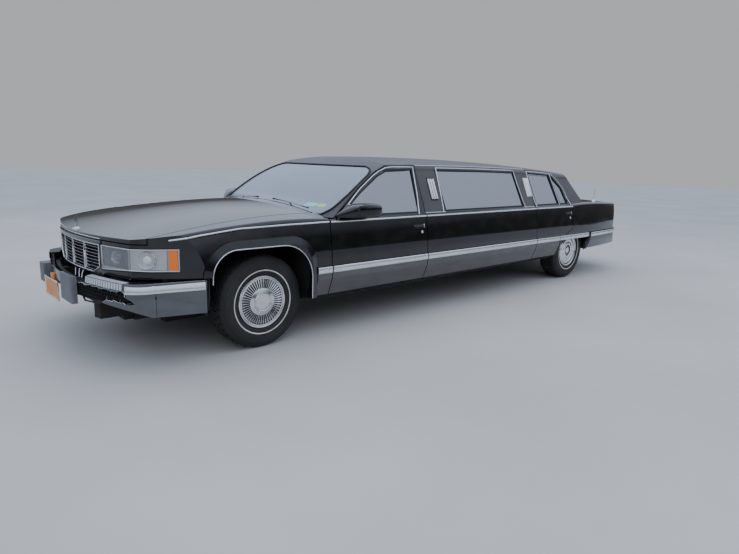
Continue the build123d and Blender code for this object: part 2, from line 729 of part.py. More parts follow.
def make_trim():
    x_range = (REAR_DOOR_FRONT_X + PANEL_GAP, FRONT_DOOR_REAR_X - PANEL_GAP)
    pieces = [side_trim(mid_skin, *x_range), belt_moulding(mid_skin, *x_range, *BELT_TRIM_Z)]
    front = side_trim(front_skin, HINGE_X + PANEL_GAP, AXLE_FRONT_X - ARCH_BEHIND - FLARE_BAND - 9)
    front &= block((HINGE_X, FRONT_X), (SKIN_HALF_WIDTH - 60, 1100), (SILL_Z, STRIP_HIGH_Z))
    pieces.append(front - side_prism(front_arch(), *EVERY_Y))
    crease = poly(*FENDER_MOULDING, *((x, z - FENDER_MOULDING_DROP) for x, z in FENDER_MOULDING[::-1]))
    pieces.append(front_skin(-MOULDING_PROUD, 0) & side_prism(crease, *EVERY_Y))
    strip = rear_skin(-STRIP_PROUD, 0) & block(
        (REAR_BUMPER_X + 3, REAR_DOOR_REAR_X), EVERY_Y, (STRIP_LOW_Z, STRIP_HIGH_Z))
    pieces.append(strip)
    ahead = side_trim(mid_skin, REAR_DOOR_REAR_X, AXLE_REAR_X + REAR_ARCH_AHEAD)
    ahead -= side_prism(grown(REAR_DOOR_OUTLINE, PANEL_GAP), *EVERY_Y)
    ahead -= side_prism(rear_arch(), *EVERY_Y)
    pieces.append(ahead)
    left = solids(*pieces)
    PARTS["side_trim"] = solids(left, right_of(left))

    lamps = []
    skin = cabin_skin(-OPERA_LAMP_SIZE[1], 0)
    for x in OPERA_LAMPS:
        lamp = skin & block((x - OPERA_LAMP_SIZE[0] / 2, x + OPERA_LAMP_SIZE[0] / 2), EVERY_Y,
                            (1064, 1064 + OPERA_LAMP_SIZE[2]))
        lamps += [lamp, right_of(lamp)]
    PARTS["opera_lamps"] = solids(*lamps)


# Nose: header, grille and lamps

GRILLE_TOP_Z = 806
GRILLE_BREAK_Z = 655
GRILLE_LOW_Z = 603
GRILLE_HALF_TOP = 432
GRILLE_HALF_LOW = 350
GRILLE_COLUMNS = 4
GRILLE_ROWS = 8
GRILLE_BAR = 9
GRILLE_FIN = 3
GRILLE_FRAME = 13
GRILLE_DEPTH = 45
GRILLE_PROUD = 6
HEADER_PROUD = 9
NOSE_WALL = 30
UPPER_WALL_HALF = 558
NOSE_RANGE = (NOSE_X - 120, NOSE_X + 50)
POST_X = (AXLE_FRONT_X + 934, AXLE_FRONT_X + 970)


def grille_outline(inset):
    top = GRILLE_HALF_TOP - inset
    low = GRILLE_HALF_LOW - inset
    return poly((-top, GRILLE_TOP_Z - inset), (top, GRILLE_TOP_Z - inset), (top, GRILLE_BREAK_Z),
                (low, GRILLE_LOW_Z + inset), (-low, GRILLE_LOW_Z + inset), (-top, GRILLE_BREAK_Z))


def grille_bars(depth, y_spans, z_spans):
    """Upright and level bars that stand in the grille's outline."""
    room = front_skin(-GRILLE_PROUD, depth) & front_prism(grille_outline(0), NOSE_X - 150, NOSE_X + 50)
    bars = room - front_prism(grille_outline(GRILLE_FRAME), NOSE_X - 200, NOSE_X + 60)
    for y in y_spans:
        bars += room & block((NOSE_X - 200, NOSE_X + 60), widened((y, y), GRILLE_BAR / 2), (0, 900))
    set_in = front_volume(0) - front_volume(depth)
    level = set_in & front_prism(grille_outline(0), NOSE_X - 150, NOSE_X + 50)
    for z in z_spans:
        bars += level & block((NOSE_X - 200, NOSE_X + 60), (-500, 500), widened((z, z), GRILLE_FIN))
    return bars


def make_nose():
    top_z = HOOD_LIP_Z - PANEL_GAP
    wall = front_skin(0, NOSE_WALL) & block(NOSE_RANGE, (-1100, 1100), (BUMPER_HIGH_Z + 2, top_z))
    wall -= front_prism(grille_outline(0), *NOSE_RANGE)
    wall -= lamp_zone() + right_of(lamp_zone())
    upper = block(NOSE_RANGE, (-UPPER_WALL_HALF, UPPER_WALL_HALF), (BUMPER_HIGH_Z, top_z))
    wall &= upper + block(NOSE_RANGE, (-1100, 1100), (BUMPER_HIGH_Z, LAMP_LOW_Z))
    post = block(POST_X, (RAIL_Y, RAIL_Y + 40), (HORN_TOP_Z, BUMPER_HIGH_Z + 30))
    PARTS["nose_panel"] = wall + post + right_of(post)

    pitch = 2 * GRILLE_HALF_TOP / GRILLE_COLUMNS
    row_pitch = (GRILLE_TOP_Z - GRILLE_LOW_Z) / GRILLE_ROWS
    bars = grille_bars(GRILLE_DEPTH,
                       [-GRILLE_HALF_TOP + column * pitch for column in range(1, GRILLE_COLUMNS)],
                       [GRILLE_LOW_Z + row * row_pitch for row in range(1, GRILLE_ROWS)])
    header = front_skin(-HEADER_PROUD, 0) & block(
        (NOSE_X - 60, NOSE_X + 50), (-LAMP_INNER_Y, LAMP_INNER_Y), (GRILLE_TOP_Z - 1, top_z))
    PARTS["grille"] = bars + header

    lamp = front_skin(0, LAMP_DEPTH) & lamp_zone()
    glass = front_skin(0, LENS_SET_IN)
    for window in LENS_WINDOWS:
        lamp -= glass & block(*window)
    PARTS["headlamps"] = solids(lamp, right_of(lamp))


# Bumpers

BUMPER_LOW_Z = 375
BUMPER_HIGH_Z = 600
BUMPER_SIDE_X = AXLE_FRONT_X + 500
BUMPER_SKIN = 8
BUMPER_BACK = 60
HORN_TOP_Z = 520
# The lower edge rises towards the front: x, z
CHIN = ((AXLE_FRONT_X + 840, BUMPER_LOW_Z + 3), (AXLE_FRONT_X + 970, 430), (FRONT_X + 20, 462))
TOP_STRIP_Z = (550, BUMPER_HIGH_Z)
TOP_STRIP_PROUD = 6
JOINT_X = AXLE_FRONT_X + 813
JOINT_WIDTH = 4
# The torn hole in the left of the face, in y and z
DAMAGE_OUTLINE = (
    (215, 536), (300, 531), (330, 541), (420, 536), (470, 545), (590, 540), (650, 546), (735, 540),
    (790, 551), (832, 545), (822, 515), (858, 489), (868, 470), (838, 466), (815, 476), (770, 470),
    (735, 480), (700, 468), (640, 472), (600, 440), (215, 440),
)
# The top pad is gone between these stations across the face
LOST_PAD_Y = (-660, 425)
LOST_PAD_Z = (548, 610)
# Guards: span in y, span in z, front x
GUARDS = (
    ((10, 270), (378, 568), FRONT_X),
    ((-606, -490), (398, 546), BUMPER_FACE_X + 8),
)
GUARD_ROUND = 14
PLATE_Y = (-450, -130)
PLATE_Z = (318, 456)


def bumper_face(inset, back=0):
    """Plan outline of the front bumper; inset moves its face in, back moves its rear side back."""
    front = BUMPER_FACE_X - inset
    arc_end = (front - 140, 830 - inset * 0.3)
    bulge = (front - 196, 880 - inset * 0.8)
    side = (front - 300, 912 - inset)
    rear = (BUMPER_SIDE_X, 990 - inset)
    inner_rear = (BUMPER_SIDE_X, 947)
    inner_side = (BUMPER_FACE_X - 330, 868)
    inner_end = (BUMPER_FACE_X - BUMPER_BACK - 140 - back, 770)
    inner_mid = (BUMPER_FACE_X - BUMPER_BACK - back, 0)

    def other(point):
        return (point[0], -point[1])

    return make_face([
        ThreePointArc(other(arc_end), (front, 0), arc_end),
        ThreePointArc(arc_end, bulge, side),
        Line(side, rear),
        Line(rear, inner_rear),
        Line(inner_rear, inner_side),
        Line(inner_side, inner_end),
        ThreePointArc(inner_end, inner_mid, other(inner_end)),
        Line(other(inner_end), other(inner_side)),
        Line(other(inner_side), other(inner_rear)),
        Line(other(inner_rear), other(rear)),
        Line(other(rear), other(side)),
        ThreePointArc(other(side), other(bulge), other(arc_end)),
    ])


def bumper_body(inset):
    """The bumper's volume with its chin cut away; inset shrinks it for the hollow."""
    body = plan_prism(bumper_face(inset), BUMPER_LOW_Z + inset, BUMPER_HIGH_Z - inset)
    chin = [(x, z + inset) for x, z in CHIN]
    below = side_prism(poly((chin[0][0], 300), *chin, (chin[-1][0], 300)), -1100, 1100)
    return body - below


REAR_BUMPER_LOW_Z = 374
REAR_BUMPER_WALL = 24


def make_bumpers():
    hollow = bumper_body(BUMPER_SKIN)
    strip = plan_prism(bumper_face(-TOP_STRIP_PROUD), *TOP_STRIP_Z) - plan_prism(bumper_face(0), *TOP_STRIP_Z)
    shell = bumper_body(0) - hollow + strip
    shell -= block((BUMPER_FACE_X - 260, FRONT_X), LOST_PAD_Y, LOST_PAD_Z)
    shell -= front_prism(poly(*DAMAGE_OUTLINE), FRONT_X - 230, FRONT_X + 20)
    groove = plan_prism(bumper_face(-20), BUMPER_LOW_Z, TOP_STRIP_Z[0]) - plan_prism(
        bumper_face(BUMPER_SKIN / 2), BUMPER_LOW_Z, TOP_STRIP_Z[0])
    shell -= groove & block((JOINT_X, JOINT_X + JOINT_WIDTH), (-1100, 1100), (0, TOP_STRIP_Z[0]))
    PARTS["front_bumper"] = shell
    core = hollow & block((FRONT_X - 400, FRONT_X), (-830, 830), (BUMPER_LOW_Z + 30, BUMPER_HIGH_Z - 60))
    PARTS["bumper_absorber"] = core
    guards = []
    for y_span, z_span, front_x in GUARDS:
        guard = block((BUMPER_FACE_X - 120, front_x), y_span, z_span)
        guard = fillet(guard.edges().filter_by(Axis.Z).sort_by(Axis.X)[-2:], GUARD_ROUND)
        guard -= plan_prism(bumper_face(0, 200), BUMPER_LOW_Z, BUMPER_HIGH_Z)
        back_x = BUMPER_FACE_X - 140 * (max(map(abs, y_span)) / 830) ** 2
        guards.append(guard & block((back_x - 3, FRONT_X), y_span, z_span))
    PARTS["bumper_guards"] = solids(*guards)

    rear = rear_volume(-REAR_BUMPER_PROUD) & block(
        (REAR_X - 10, REAR_BUMPER_X), (-1100, 1100), (REAR_BUMPER_LOW_Z, STRIP_HIGH_Z))
    rear -= rear_volume(REAR_BUMPER_WALL)
    PARTS["rear_bumper"] = rear
    lamp = rear_skin(0, 60) & block(*TAIL_LAMP_BOX)
    PARTS["tail_lamps"] = solids(lamp, right_of(lamp))


# Wheels, knuckles and axle

HUB_FACE = 10
HUB_RADIUS = 50


def wheel_profile():
    """Tyre section: radius against distance from the wheel's middle plane."""
    half = TYRE_WIDTH / 2
    tread = half - 22
    return poly(
        (RIM_RADIUS + 6, -RIM_WIDTH / 2), (RIM_RADIUS + 40, -half + 6), (RIM_RADIUS + 85, -half),
        (TYRE_RADIUS - 38, -half + 8), (TYRE_RADIUS - 12, -tread), (TYRE_RADIUS, -tread + 20),
        (TYRE_RADIUS, tread - 20), (TYRE_RADIUS - 12, tread), (TYRE_RADIUS - 38, half - 8),
        (RIM_RADIUS + 85, half), (RIM_RADIUS + 40, half - 6), (RIM_RADIUS + 6, RIM_WIDTH / 2),
    )


# Outer faces of the covers, from the rim's edge inwards: radius, distance from the middle plane
FRONT_COVER = (
    (COVER_RADIUS, 94), (COVER_RADIUS, 101), (198, 106), (192, 107), (187, 101), (184, 98),
    (181, 103), (175, 103), (172, 99), (104, 103), (80, 107), (74, 109), (72, 114), (66, 116),
    (61, 113), (58, 109), (30, 110), (0, 111),
)
REAR_COVER = (
    (COVER_RADIUS, 94), (COVER_RADIUS, 101), (198, 106), (192, 107), (187, 103), (185, 97),
    (166, 93), (159, 100),
    (154, 101.5), (136, 102), (132, 98), (112, 96), (107, 100), (72, 101.5), (69, 98), (67, 87),
    (42, 86), (40, 92), (37, 96), (20, 97.5), (0, 98),
)
LOUVRES = 50
LOUVRE_SLOT = ((110, -3.8), (110, 3.8), (169, 5.2), (169, -5.2))
LOUVRE_FLOOR = 91


def rim_profile(cover):
    """Rim barrel with its flanges, and a bright cover over the outboard face."""
    half = RIM_WIDTH / 2
    return poly(
        (RIM_RADIUS + 6, -half), (RIM_RADIUS + 6, half), *cover,
        (0, HUB_FACE), (HUB_RADIUS, HUB_FACE), (HUB_RADIUS, half - 14), (RIM_RADIUS - 8, half - 14),
        (RIM_RADIUS - 8, -half),
    )


@lru_cache(maxsize=None)
def turned_wheel(cover):
    wheel = revolve(Plane.XZ * rim_profile(cover), Axis.Z)
    if cover is FRONT_COVER:
        slot = plan_prism(poly(*LOUVRE_SLOT), LOUVRE_FLOOR, LOUVRE_FLOOR + 30)
        wheel -= [place * slot for place in PolarLocations(0, LOUVRES)]
    return wheel


def at_corner(shape, x, y, outboard):
    """Set a wheel's shape on its axle; outboard is +1 left, -1 right."""
    return Pos(x, y, TYRE_RADIUS) * Rot(-90 * outboard, 0, 0) * shape


KINGPIN_Z = (246, 464)
# Corners: name, axle x, y, outboard direction, cover
CORNERS = (
    ("front_left", AXLE_FRONT_X, TRACK_FRONT / 2, 1, FRONT_COVER),
    ("front_right", AXLE_FRONT_X, -TRACK_FRONT / 2, -1, FRONT_COVER),
    ("rear_left", AXLE_REAR_X, TRACK_REAR / 2, 1, REAR_COVER),
    ("rear_right", AXLE_REAR_X, -TRACK_REAR / 2, -1, REAR_COVER),
)


def make_wheels():
    tyre = revolve(Plane.XZ * wheel_profile(), Axis.Z)
    for name, x, y, outboard, cover in CORNERS:
        PARTS["tyre_" + name] = at_corner(tyre, x, y, outboard)
        PARTS["wheel_" + name] = at_corner(turned_wheel(cover), x, y, outboard)
    pivot_y = TRACK_FRONT / 2 - KINGPIN_OFFSET
    kingpin = Pos(AXLE_FRONT_X, pivot_y, (KINGPIN_Z[0] + KINGPIN_Z[1]) / 2)
    kingpin *= Cylinder(22, KINGPIN_Z[1] - KINGPIN_Z[0])
    spindle = tube_y(30, pivot_y, TRACK_FRONT / 2 + HUB_FACE - SEAT_GAP, AXLE_FRONT_X, TYRE_RADIUS)
    arm = block((AXLE_FRONT_X - 150, AXLE_FRONT_X), (pivot_y - 18, pivot_y + 12), (300, 328))
    both_sides("knuckle", kingpin + spindle + arm)


# Chassis and running gear

RAIL_Y = 400
CROSS_LOW_Z = 185
# Ahead of this station the frame rises under the nose
RAIL_STEP_X = 560
RAIL_STEP_Z = 245
SILL_LOW_Z = 300
CROSS_HIGH_Z = 305
STRETCH_CROSSMEMBERS = (HINGE_X - 1098.5, HINGE_X - 2298.5, AXLE_REAR_X + 616.5)
CROSSMEMBERS = (
    AXLE_FRONT_X + 800, AXLE_FRONT_X, AXLE_FRONT_X - 650, *STRETCH_CROSSMEMBERS, AXLE_REAR_X - 700,
)
SHAFT_RADIUS = 38
SHAFT_Z = 245
EXHAUST_RADIUS = 30
EXHAUST_Y = 250
EXHAUST_Z = 150
RADIATOR_X = (AXLE_FRONT_X + 774, AXLE_FRONT_X + 824)
BOOT_FLOOR_Z = 520
SHELF_Z = 514


WIPER_X = AXLE_FRONT_X - 602
WIPER_Z = 1034.5


SEAT_FOOT_Z = FLOOR_TOP_Z + SEAT_GAP
SEAT_ROUND = 28
# Side outlines of the seats, in x and z
FRONT_SEAT = (
    (HINGE_X - 560, SEAT_FOOT_Z), (HINGE_X - 560, 610), (HINGE_X - 1105, 585), (HINGE_X - 1210, 1175),
    (HINGE_X - 1325, 1175), (HINGE_X - 1290, SEAT_FOOT_Z),
)
REAR_SEAT = (
    (AXLE_REAR_X + 430, SEAT_FOOT_Z), (AXLE_REAR_X + 1000, SEAT_FOOT_Z), (AXLE_REAR_X + 1000, 640),
    (AXLE_REAR_X + 450, 610), (AXLE_REAR_X + 375, 1175), (AXLE_REAR_X + 252, 1175),
    (AXLE_REAR_X + 252, SHELF_Z + SEAT_GAP), (AXLE_REAR_X + 430, SHELF_Z + SEAT_GAP),
)
FACING_SEAT = (
    (HINGE_X - 1430, SEAT_FOOT_Z), (HINGE_X - 1430, 640),
    (HINGE_X - 1950, 640), (HINGE_X - 1950, SEAT_FOOT_Z),
)


def seat(outline, half_width):
    """A seat swept across the cabin, its upper corners rounded."""
    face = poly(*outline)
    corners = [corner for corner in face.vertices() if corner.Y > 600]
    return side_prism(fillet(corners, SEAT_ROUND), -half_width, half_width)


def make_chassis():
    frame = None
    for side in (1, -1):
        rail_y = (side * RAIL_Y - 40, side * RAIL_Y + 40)
        rail = block((AXLE_REAR_X - 900, AXLE_FRONT_X + 780), rail_y, (190, FLOOR_TOP_Z - FLOOR_THICK))
        horn = block((AXLE_FRONT_X + 700, BUMPER_FACE_X - 40), rail_y, (290, HORN_TOP_Z))
        horn -= plan_prism(bumper_face(0, SEAT_GAP), 0, 1000)
        frame = rail + horn if frame is None else frame + rail + horn
    for x in CROSSMEMBERS:
        frame += block((x - 40, x + 40), (-RAIL_Y, RAIL_Y), (CROSS_LOW_Z, CROSS_HIGH_Z))
    frame -= tube_x(SHAFT_RADIUS + 6, AXLE_REAR_X, AXLE_FRONT_X - 490, 0, SHAFT_Z)
    frame -= block((AXLE_FRONT_X + RAIL_STEP_X, FRONT_X), (-500, 500), (0, RAIL_STEP_Z))
    PARTS["chassis_frame"] = frame

    floor = block((AXLE_REAR_X + 420, HINGE_X + 60), (-868, 868), (FLOOR_TOP_Z - FLOOR_THICK, FLOOR_TOP_Z))
    sill = block((AXLE_REAR_X + 470, HINGE_X), (790, 868), (SILL_LOW_Z, FLOOR_TOP_Z))
    floor += sill + right_of(sill)
    kick = block((AXLE_REAR_X + 400, AXLE_REAR_X + 425), (-640, 640), (FLOOR_TOP_Z - FLOOR_THICK, SHELF_Z))
    shelf_x = AXLE_REAR_X + 240
    boot_floor = block((TAIL_X + 170, shelf_x), (-640, 640), (BOOT_FLOOR_Z - FLOOR_THICK, BOOT_FLOOR_Z))
    boot_floor += block((shelf_x, AXLE_REAR_X + 425), (-640, 640), (BOOT_FLOOR_Z - FLOOR_THICK, SHELF_Z))
    dash_wall = block((HINGE_X + 35, HINGE_X + 60), (-868, 868), (FLOOR_TOP_Z - FLOOR_THICK, 925))
    rest = block((REAR_DOOR_FRONT_X + 30, FRONT_DOOR_REAR_X - 30), (800, 925), (FLOOR_TOP_Z - 1, SILL_Z))
    pillar = door_hinges(HINGE_X, HINGE_X + 60)
    hood_hinge = block(HOOD_HINGE_X, HOOD_HINGE_Y, HOOD_HINGE_Z) & front_volume(HOOD_THICK + SEAT_GAP)
    hood_hinge += block((HINGE_X + 59, HOOD_HINGE_X[1]), HOOD_HINGE_Y, (885, 920))
    for piece in (rest, pillar, hood_hinge):
        floor += piece + right_of(piece)
    PARTS["floor_pan"] = floor + kick + boot_floor + dash_wall

    house = side_prism(front_arch(10), 462, 955) - side_prism(front_arch(4), 468, 960)
    house = house & block((HINGE_X + 70, FRONT_X), (0, 1100), (FLOOR_TOP_Z, 1000)) & front_volume(SHEET_THICK)
    rear_house = side_prism(arch_face(400, 400, 760, 200, AXLE_REAR_X, 6), 640, 990)
    rear_house -= side_prism(arch_face(400, 400, 760, 200, AXLE_REAR_X, 0), 646, 1000)
    behind_door = block((REAR_X, REAR_DOOR_REAR_X - 12), (0, 1100), (410, 1000)) & rear_volume(SHEET_THICK)
    rear_house &= block((REAR_X, FRONT_X), (0, 855), (410, 1000)) + behind_door
    rear_house -= block((REAR_X, REAR_BUMPER_X + 2), (870, 1100), (0, STRIP_HIGH_Z + 2))
    PARTS["wheel_housings"] = solids(house, right_of(house), rear_house, right_of(rear_house))

    engine = block((AXLE_FRONT_X - 480, AXLE_FRONT_X + 260), (-290, 290), (CROSS_HIGH_Z, 780))
    engine += block((AXLE_FRONT_X - 430, AXLE_FRONT_X + 200), (-160, 160), (779, 855))
    PARTS["engine_block"] = solids(engine, block(RADIATOR_X, (-350, 350), (CROSS_HIGH_Z + SEAT_GAP, 780)))
    half_axle = TRACK_REAR / 2 + HUB_FACE - SEAT_GAP
    tube = tube_y(42, -half_axle, half_axle, AXLE_REAR_X, TYRE_RADIUS)
    diff = Pos(AXLE_REAR_X, 0, TYRE_RADIUS) * Sphere(125)
    shaft = tube_x(SHAFT_RADIUS, AXLE_REAR_X + 60, AXLE_FRONT_X - 480, 0, SHAFT_Z)
    PARTS["rear_axle"] = tube + diff + shaft
    pipe = tube_x(EXHAUST_RADIUS, REAR_X + 120, AXLE_FRONT_X - 700, EXHAUST_Y, EXHAUST_Z)
    for x in CROSSMEMBERS[3:]:
        pipe += block((x - 6, x + 6), (EXHAUST_Y - 15, EXHAUST_Y + 15), (EXHAUST_Z, CROSS_LOW_Z - SEAT_GAP))
    PARTS["exhaust_system"] = pipe
    PARTS["fuel_tank"] = block((TAIL_X + 330, AXLE_REAR_X - 480), (-300, 200),
                               (310, BOOT_FLOOR_Z - FLOOR_THICK))
    pivot_y = TRACK_FRONT / 2 - KINGPIN_OFFSET
    arms = []
    for low_z, y_in in ((KINGPIN_Z[0] - 25 - SEAT_GAP, RAIL_Y + 40), (KINGPIN_Z[1] + SEAT_GAP, 468)):
        bar = block((AXLE_FRONT_X - 30, AXLE_FRONT_X + 30), (y_in, pivot_y - 30), (low_z, low_z + 25))
        bar += block((AXLE_FRONT_X - 18, AXLE_FRONT_X + 18), (y_in, pivot_y), (low_z, low_z + 25))
        bar += Pos(AXLE_FRONT_X, pivot_y, low_z + 12.5) * Cylinder(18, 25)
        arms += [bar, right_of(bar)]
    spring = Pos(AXLE_REAR_X, 520, (397 + BOOT_FLOOR_Z - FLOOR_THICK) / 2)
    spring *= Cylinder(50, BOOT_FLOOR_Z - FLOOR_THICK - 397)
    PARTS["suspension"] = solids(*arms, spring, right_of(spring))

    PARTS["dashboard"] = block((HINGE_X - 330, HINGE_X + 35), (-840, 840), (690, 925))
    wheel = Torus(190, 16) + Cylinder(40, 40)
    for angle in (0, 120, 240):
        wheel += Rot(0, 0, angle) * Pos(100, 0, 0) * Box(190, 30, 14)
    wheel += Pos(0, 0, -80) * Cylinder(22, 160)
    wheel = Pos(HINGE_X - 475, 380, 870) * Rot(0, -65, 0) * wheel
    PARTS["steering_wheel"] = wheel - PARTS["dashboard"]
    PARTS["front_seat"] = seat(FRONT_SEAT, 700)
    PARTS["rear_seats"] = solids(seat(REAR_SEAT, 620), seat(FACING_SEAT, 700))
    wall = poly((-855, FLOOR_TOP_Z), (855, FLOOR_TOP_Z), (855, 930), (700, 1290), (-700, 1290), (-855, 930))
    wall = front_prism(wall, HINGE_X - 1400, HINGE_X - 1350)
    foot = block((HINGE_X - 1400, HINGE_X - 1350), (800 - SEAT_GAP, 900), (FLOOR_TOP_Z, SILL_Z + SEAT_GAP))
    PARTS["partition"] = wall - foot - right_of(foot)

    blade = Pos(WIPER_X, 380, WIPER_Z) * Rot(-4.7, 0, 0) * Rot(90, 0, 0) * Cylinder(8, 520)
    PARTS["wipers"] = solids(blade, right_of(blade))
    mast = Pos(AXLE_REAR_X - 720, 800, 1030) * Cylinder(4, 200) - rear_volume(0)
    PARTS["antenna"] = mast
    bracket = block((BUMPER_FACE_X - 40, BUMPER_FACE_X), (-330, -250), (PLATE_Z[0] + 60, 500))
    bracket -= plan_prism(bumper_face(0, 200), 0, 1000)
    PARTS["front_plate"] = bracket + block((BUMPER_FACE_X, BUMPER_FACE_X + 6), PLATE_Y, PLATE_Z)


def main():
    make_doors()
    make_lids()
    make_panels()
    make_greenhouse()
    make_trim()
    make_nose()
    make_bumpers()
    make_wheels()
    make_chassis()
    os.makedirs("parts", exist_ok=True)
    for name, shape in PARTS.items():
        export_step(shape, f"parts/{name}.step")


if __name__ == "__main__":
    main()
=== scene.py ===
import json
import math

import bmesh
import bpy
from mathutils import Matrix, Vector

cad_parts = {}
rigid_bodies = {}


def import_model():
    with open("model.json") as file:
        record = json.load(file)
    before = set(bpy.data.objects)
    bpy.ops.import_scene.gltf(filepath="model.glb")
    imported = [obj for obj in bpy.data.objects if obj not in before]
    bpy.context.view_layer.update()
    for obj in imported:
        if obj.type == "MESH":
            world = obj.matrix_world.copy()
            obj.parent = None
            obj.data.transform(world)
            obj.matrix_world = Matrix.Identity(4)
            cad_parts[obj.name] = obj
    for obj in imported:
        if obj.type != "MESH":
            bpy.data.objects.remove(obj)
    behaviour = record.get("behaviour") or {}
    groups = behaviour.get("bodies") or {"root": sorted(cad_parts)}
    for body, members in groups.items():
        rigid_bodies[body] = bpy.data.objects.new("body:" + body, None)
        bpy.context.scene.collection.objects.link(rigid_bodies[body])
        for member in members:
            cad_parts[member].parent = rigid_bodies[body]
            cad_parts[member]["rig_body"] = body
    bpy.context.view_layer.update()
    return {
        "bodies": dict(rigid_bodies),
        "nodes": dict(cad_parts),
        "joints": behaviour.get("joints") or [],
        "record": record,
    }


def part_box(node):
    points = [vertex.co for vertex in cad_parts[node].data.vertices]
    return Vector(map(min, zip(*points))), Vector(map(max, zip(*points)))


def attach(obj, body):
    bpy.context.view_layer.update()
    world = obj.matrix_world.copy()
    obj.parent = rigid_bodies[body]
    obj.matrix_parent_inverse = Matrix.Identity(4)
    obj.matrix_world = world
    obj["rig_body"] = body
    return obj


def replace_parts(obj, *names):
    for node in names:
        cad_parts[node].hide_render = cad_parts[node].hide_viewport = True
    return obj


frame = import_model()
nodes = frame["nodes"]
print("frame loaded with", len(nodes), "nodes")

# The car's own stations, in metres, from the frame
frontAxle = (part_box("tyre_front_left")[0].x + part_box("tyre_front_left")[1].x) / 2
rearAxle = (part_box("tyre_rear_left")[0].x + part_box("tyre_rear_left")[1].x) / 2
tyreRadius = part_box("tyre_front_left")[1].z / 2
sides = (("left", 1), ("right", -1))


# Camera, floor and lights

view = {
    "place": (4.7455, 4.436, 1.428),
    "yaw": -133.287,
    "pitch": -11.718,
    "roll": 1.909,
    "focalPixels": 568.9,
    "imageWidth": 739,
}


def setCamera():
    yaw, pitch, roll = (math.radians(view[k]) for k in ("yaw", "pitch", "roll"))
    ahead = Vector((math.cos(pitch) * math.cos(yaw), math.cos(pitch) * math.sin(yaw), math.sin(pitch)))
    level = ahead.cross(Vector((0, 0, 1))).normalized()
    upright = level.cross(ahead)
    right = level * math.cos(roll) + upright * math.sin(roll)
    up = upright * math.cos(roll) - level * math.sin(roll)
    bpy.ops.object.camera_add(location=view["place"])
    camera = bpy.context.object
    turn = Matrix((right, up, -ahead)).transposed()
    camera.rotation_euler = turn.to_euler()
    camera.data.sensor_width = 36
    camera.data.lens = 36 * view["focalPixels"] / view["imageWidth"]
    bpy.context.scene.camera = camera


studio = {
    "floorSize": 90,
    # sine of the height above the horizon, colour
    "sky": ((0.0, (0.07, 0.07, 0.07)), (0.12, (0.11, 0.11, 0.12)), (0.30, (0.86, 0.95, 1.15)),
            (0.75, (1.15, 1.30, 1.62))),
    "skyStrength": 0.85,
    "backdrop": (0.46, 0.48, 0.50),
    # name, place, size, power, colour
    "lamps": (
        ("overhead", (0.5, 0.5, 7.0), 7.0, 190, (1.0, 0.99, 0.97)),
        ("frontLeft", (7.5, 6.5, 4.5), 4.0, 110, (1.0, 0.98, 0.95)),
        ("rearLeft", (-6.5, 6.0, 4.0), 4.0, 80, (0.95, 0.97, 1.0)),
        ("farSide", (-1.0, -7.5, 4.5), 4.0, 80, (0.96, 0.98, 1.0)),
    ),
}


def setStudio():
    bpy.ops.mesh.primitive_plane_add(size=studio["floorSize"])
    floor = bpy.context.object
    floor.name = "floor"
    floor.data.materials.append(paleFloor())
    for name, place, size, power, colour in studio["lamps"]:
        bpy.ops.object.light_add(type="AREA", location=place)
        lamp = bpy.context.object
        lamp.name = name
        lamp.data.size = size
        lamp.data.energy = power
        lamp.data.color = colour
        lamp.visible_glossy = False
        lamp.rotation_euler = (Vector((0, 0, 0.6)) - Vector(place)).to_track_quat("-Z", "Y").to_euler()
    world = bpy.data.worlds.new("studioSky")
    bpy.context.scene.world = world
    world.use_nodes = True
    tree = world.node_tree
    place = tree.nodes.new("ShaderNodeTexCoord")
    split = tree.nodes.new("ShaderNodeSeparateXYZ")
    ramp = tree.nodes.new("ShaderNodeValToRGB")
    while len(ramp.color_ramp.elements) < len(studio["sky"]):
        ramp.color_ramp.elements.new(0.5)
    for stop, (position, colour) in zip(ramp.color_ramp.elements, studio["sky"]):
        stop.position = position
        stop.color = (*colour, 1)
    back = tree.nodes["Background"]
    back.inputs["Strength"].default_value = studio["skyStrength"]
    tree.links.new(place.outputs["Generated"], split.inputs[0])
    tree.links.new(split.outputs["Z"], ramp.inputs["Fac"])
    tree.links.new(ramp.outputs["Color"], back.inputs["Color"])
    plain = tree.nodes.new("ShaderNodeBackground")
    plain.inputs["Color"].default_value = (*studio["backdrop"], 1)
    path = tree.nodes.new("ShaderNodeLightPath")
    blend = tree.nodes.new("ShaderNodeMixShader")
    tree.links.new(path.outputs["Is Camera Ray"], blend.inputs[0])
    tree.links.new(back.outputs[0], blend.inputs[1])
    tree.links.new(plain.outputs[0], blend.inputs[2])
    tree.links.new(blend.outputs[0], tree.nodes["World Output"].inputs["Surface"])


# Materials: each has its own pattern on the piece's object coordinates

def newMaterial(name, colour, roughness, sockets=None):
    material = bpy.data.materials.new(name)
    material.use_nodes = True
    shader = material.node_tree.nodes["Principled BSDF"]
    shader.inputs["Base Color"].default_value = (*colour, 1)
    shader.inputs["Roughness"].default_value = roughness
    for socket, value in (sockets or {}).items():
        shader.inputs[socket].default_value = value
    return material


def texture(material, kind, scale, stretch=(1, 1, 1), detail=4):
    tree = material.node_tree
    place = tree.nodes.new("ShaderNodeTexCoord")
    mapping = tree.nodes.new("ShaderNodeMapping")
    mapping.inputs["Scale"].default_value = stretch
    pattern = tree.nodes.new("ShaderNodeTex" + kind)
    pattern.inputs["Scale"].default_value = scale
    if kind == "Noise":
        pattern.inputs["Detail"].default_value = detail
    tree.links.new(place.outputs["Object"], mapping.inputs["Vector"])
    tree.links.new(mapping.outputs["Vector"], pattern.inputs["Vector"])
    return pattern.outputs["Distance" if kind == "Voronoi" else "Fac"]


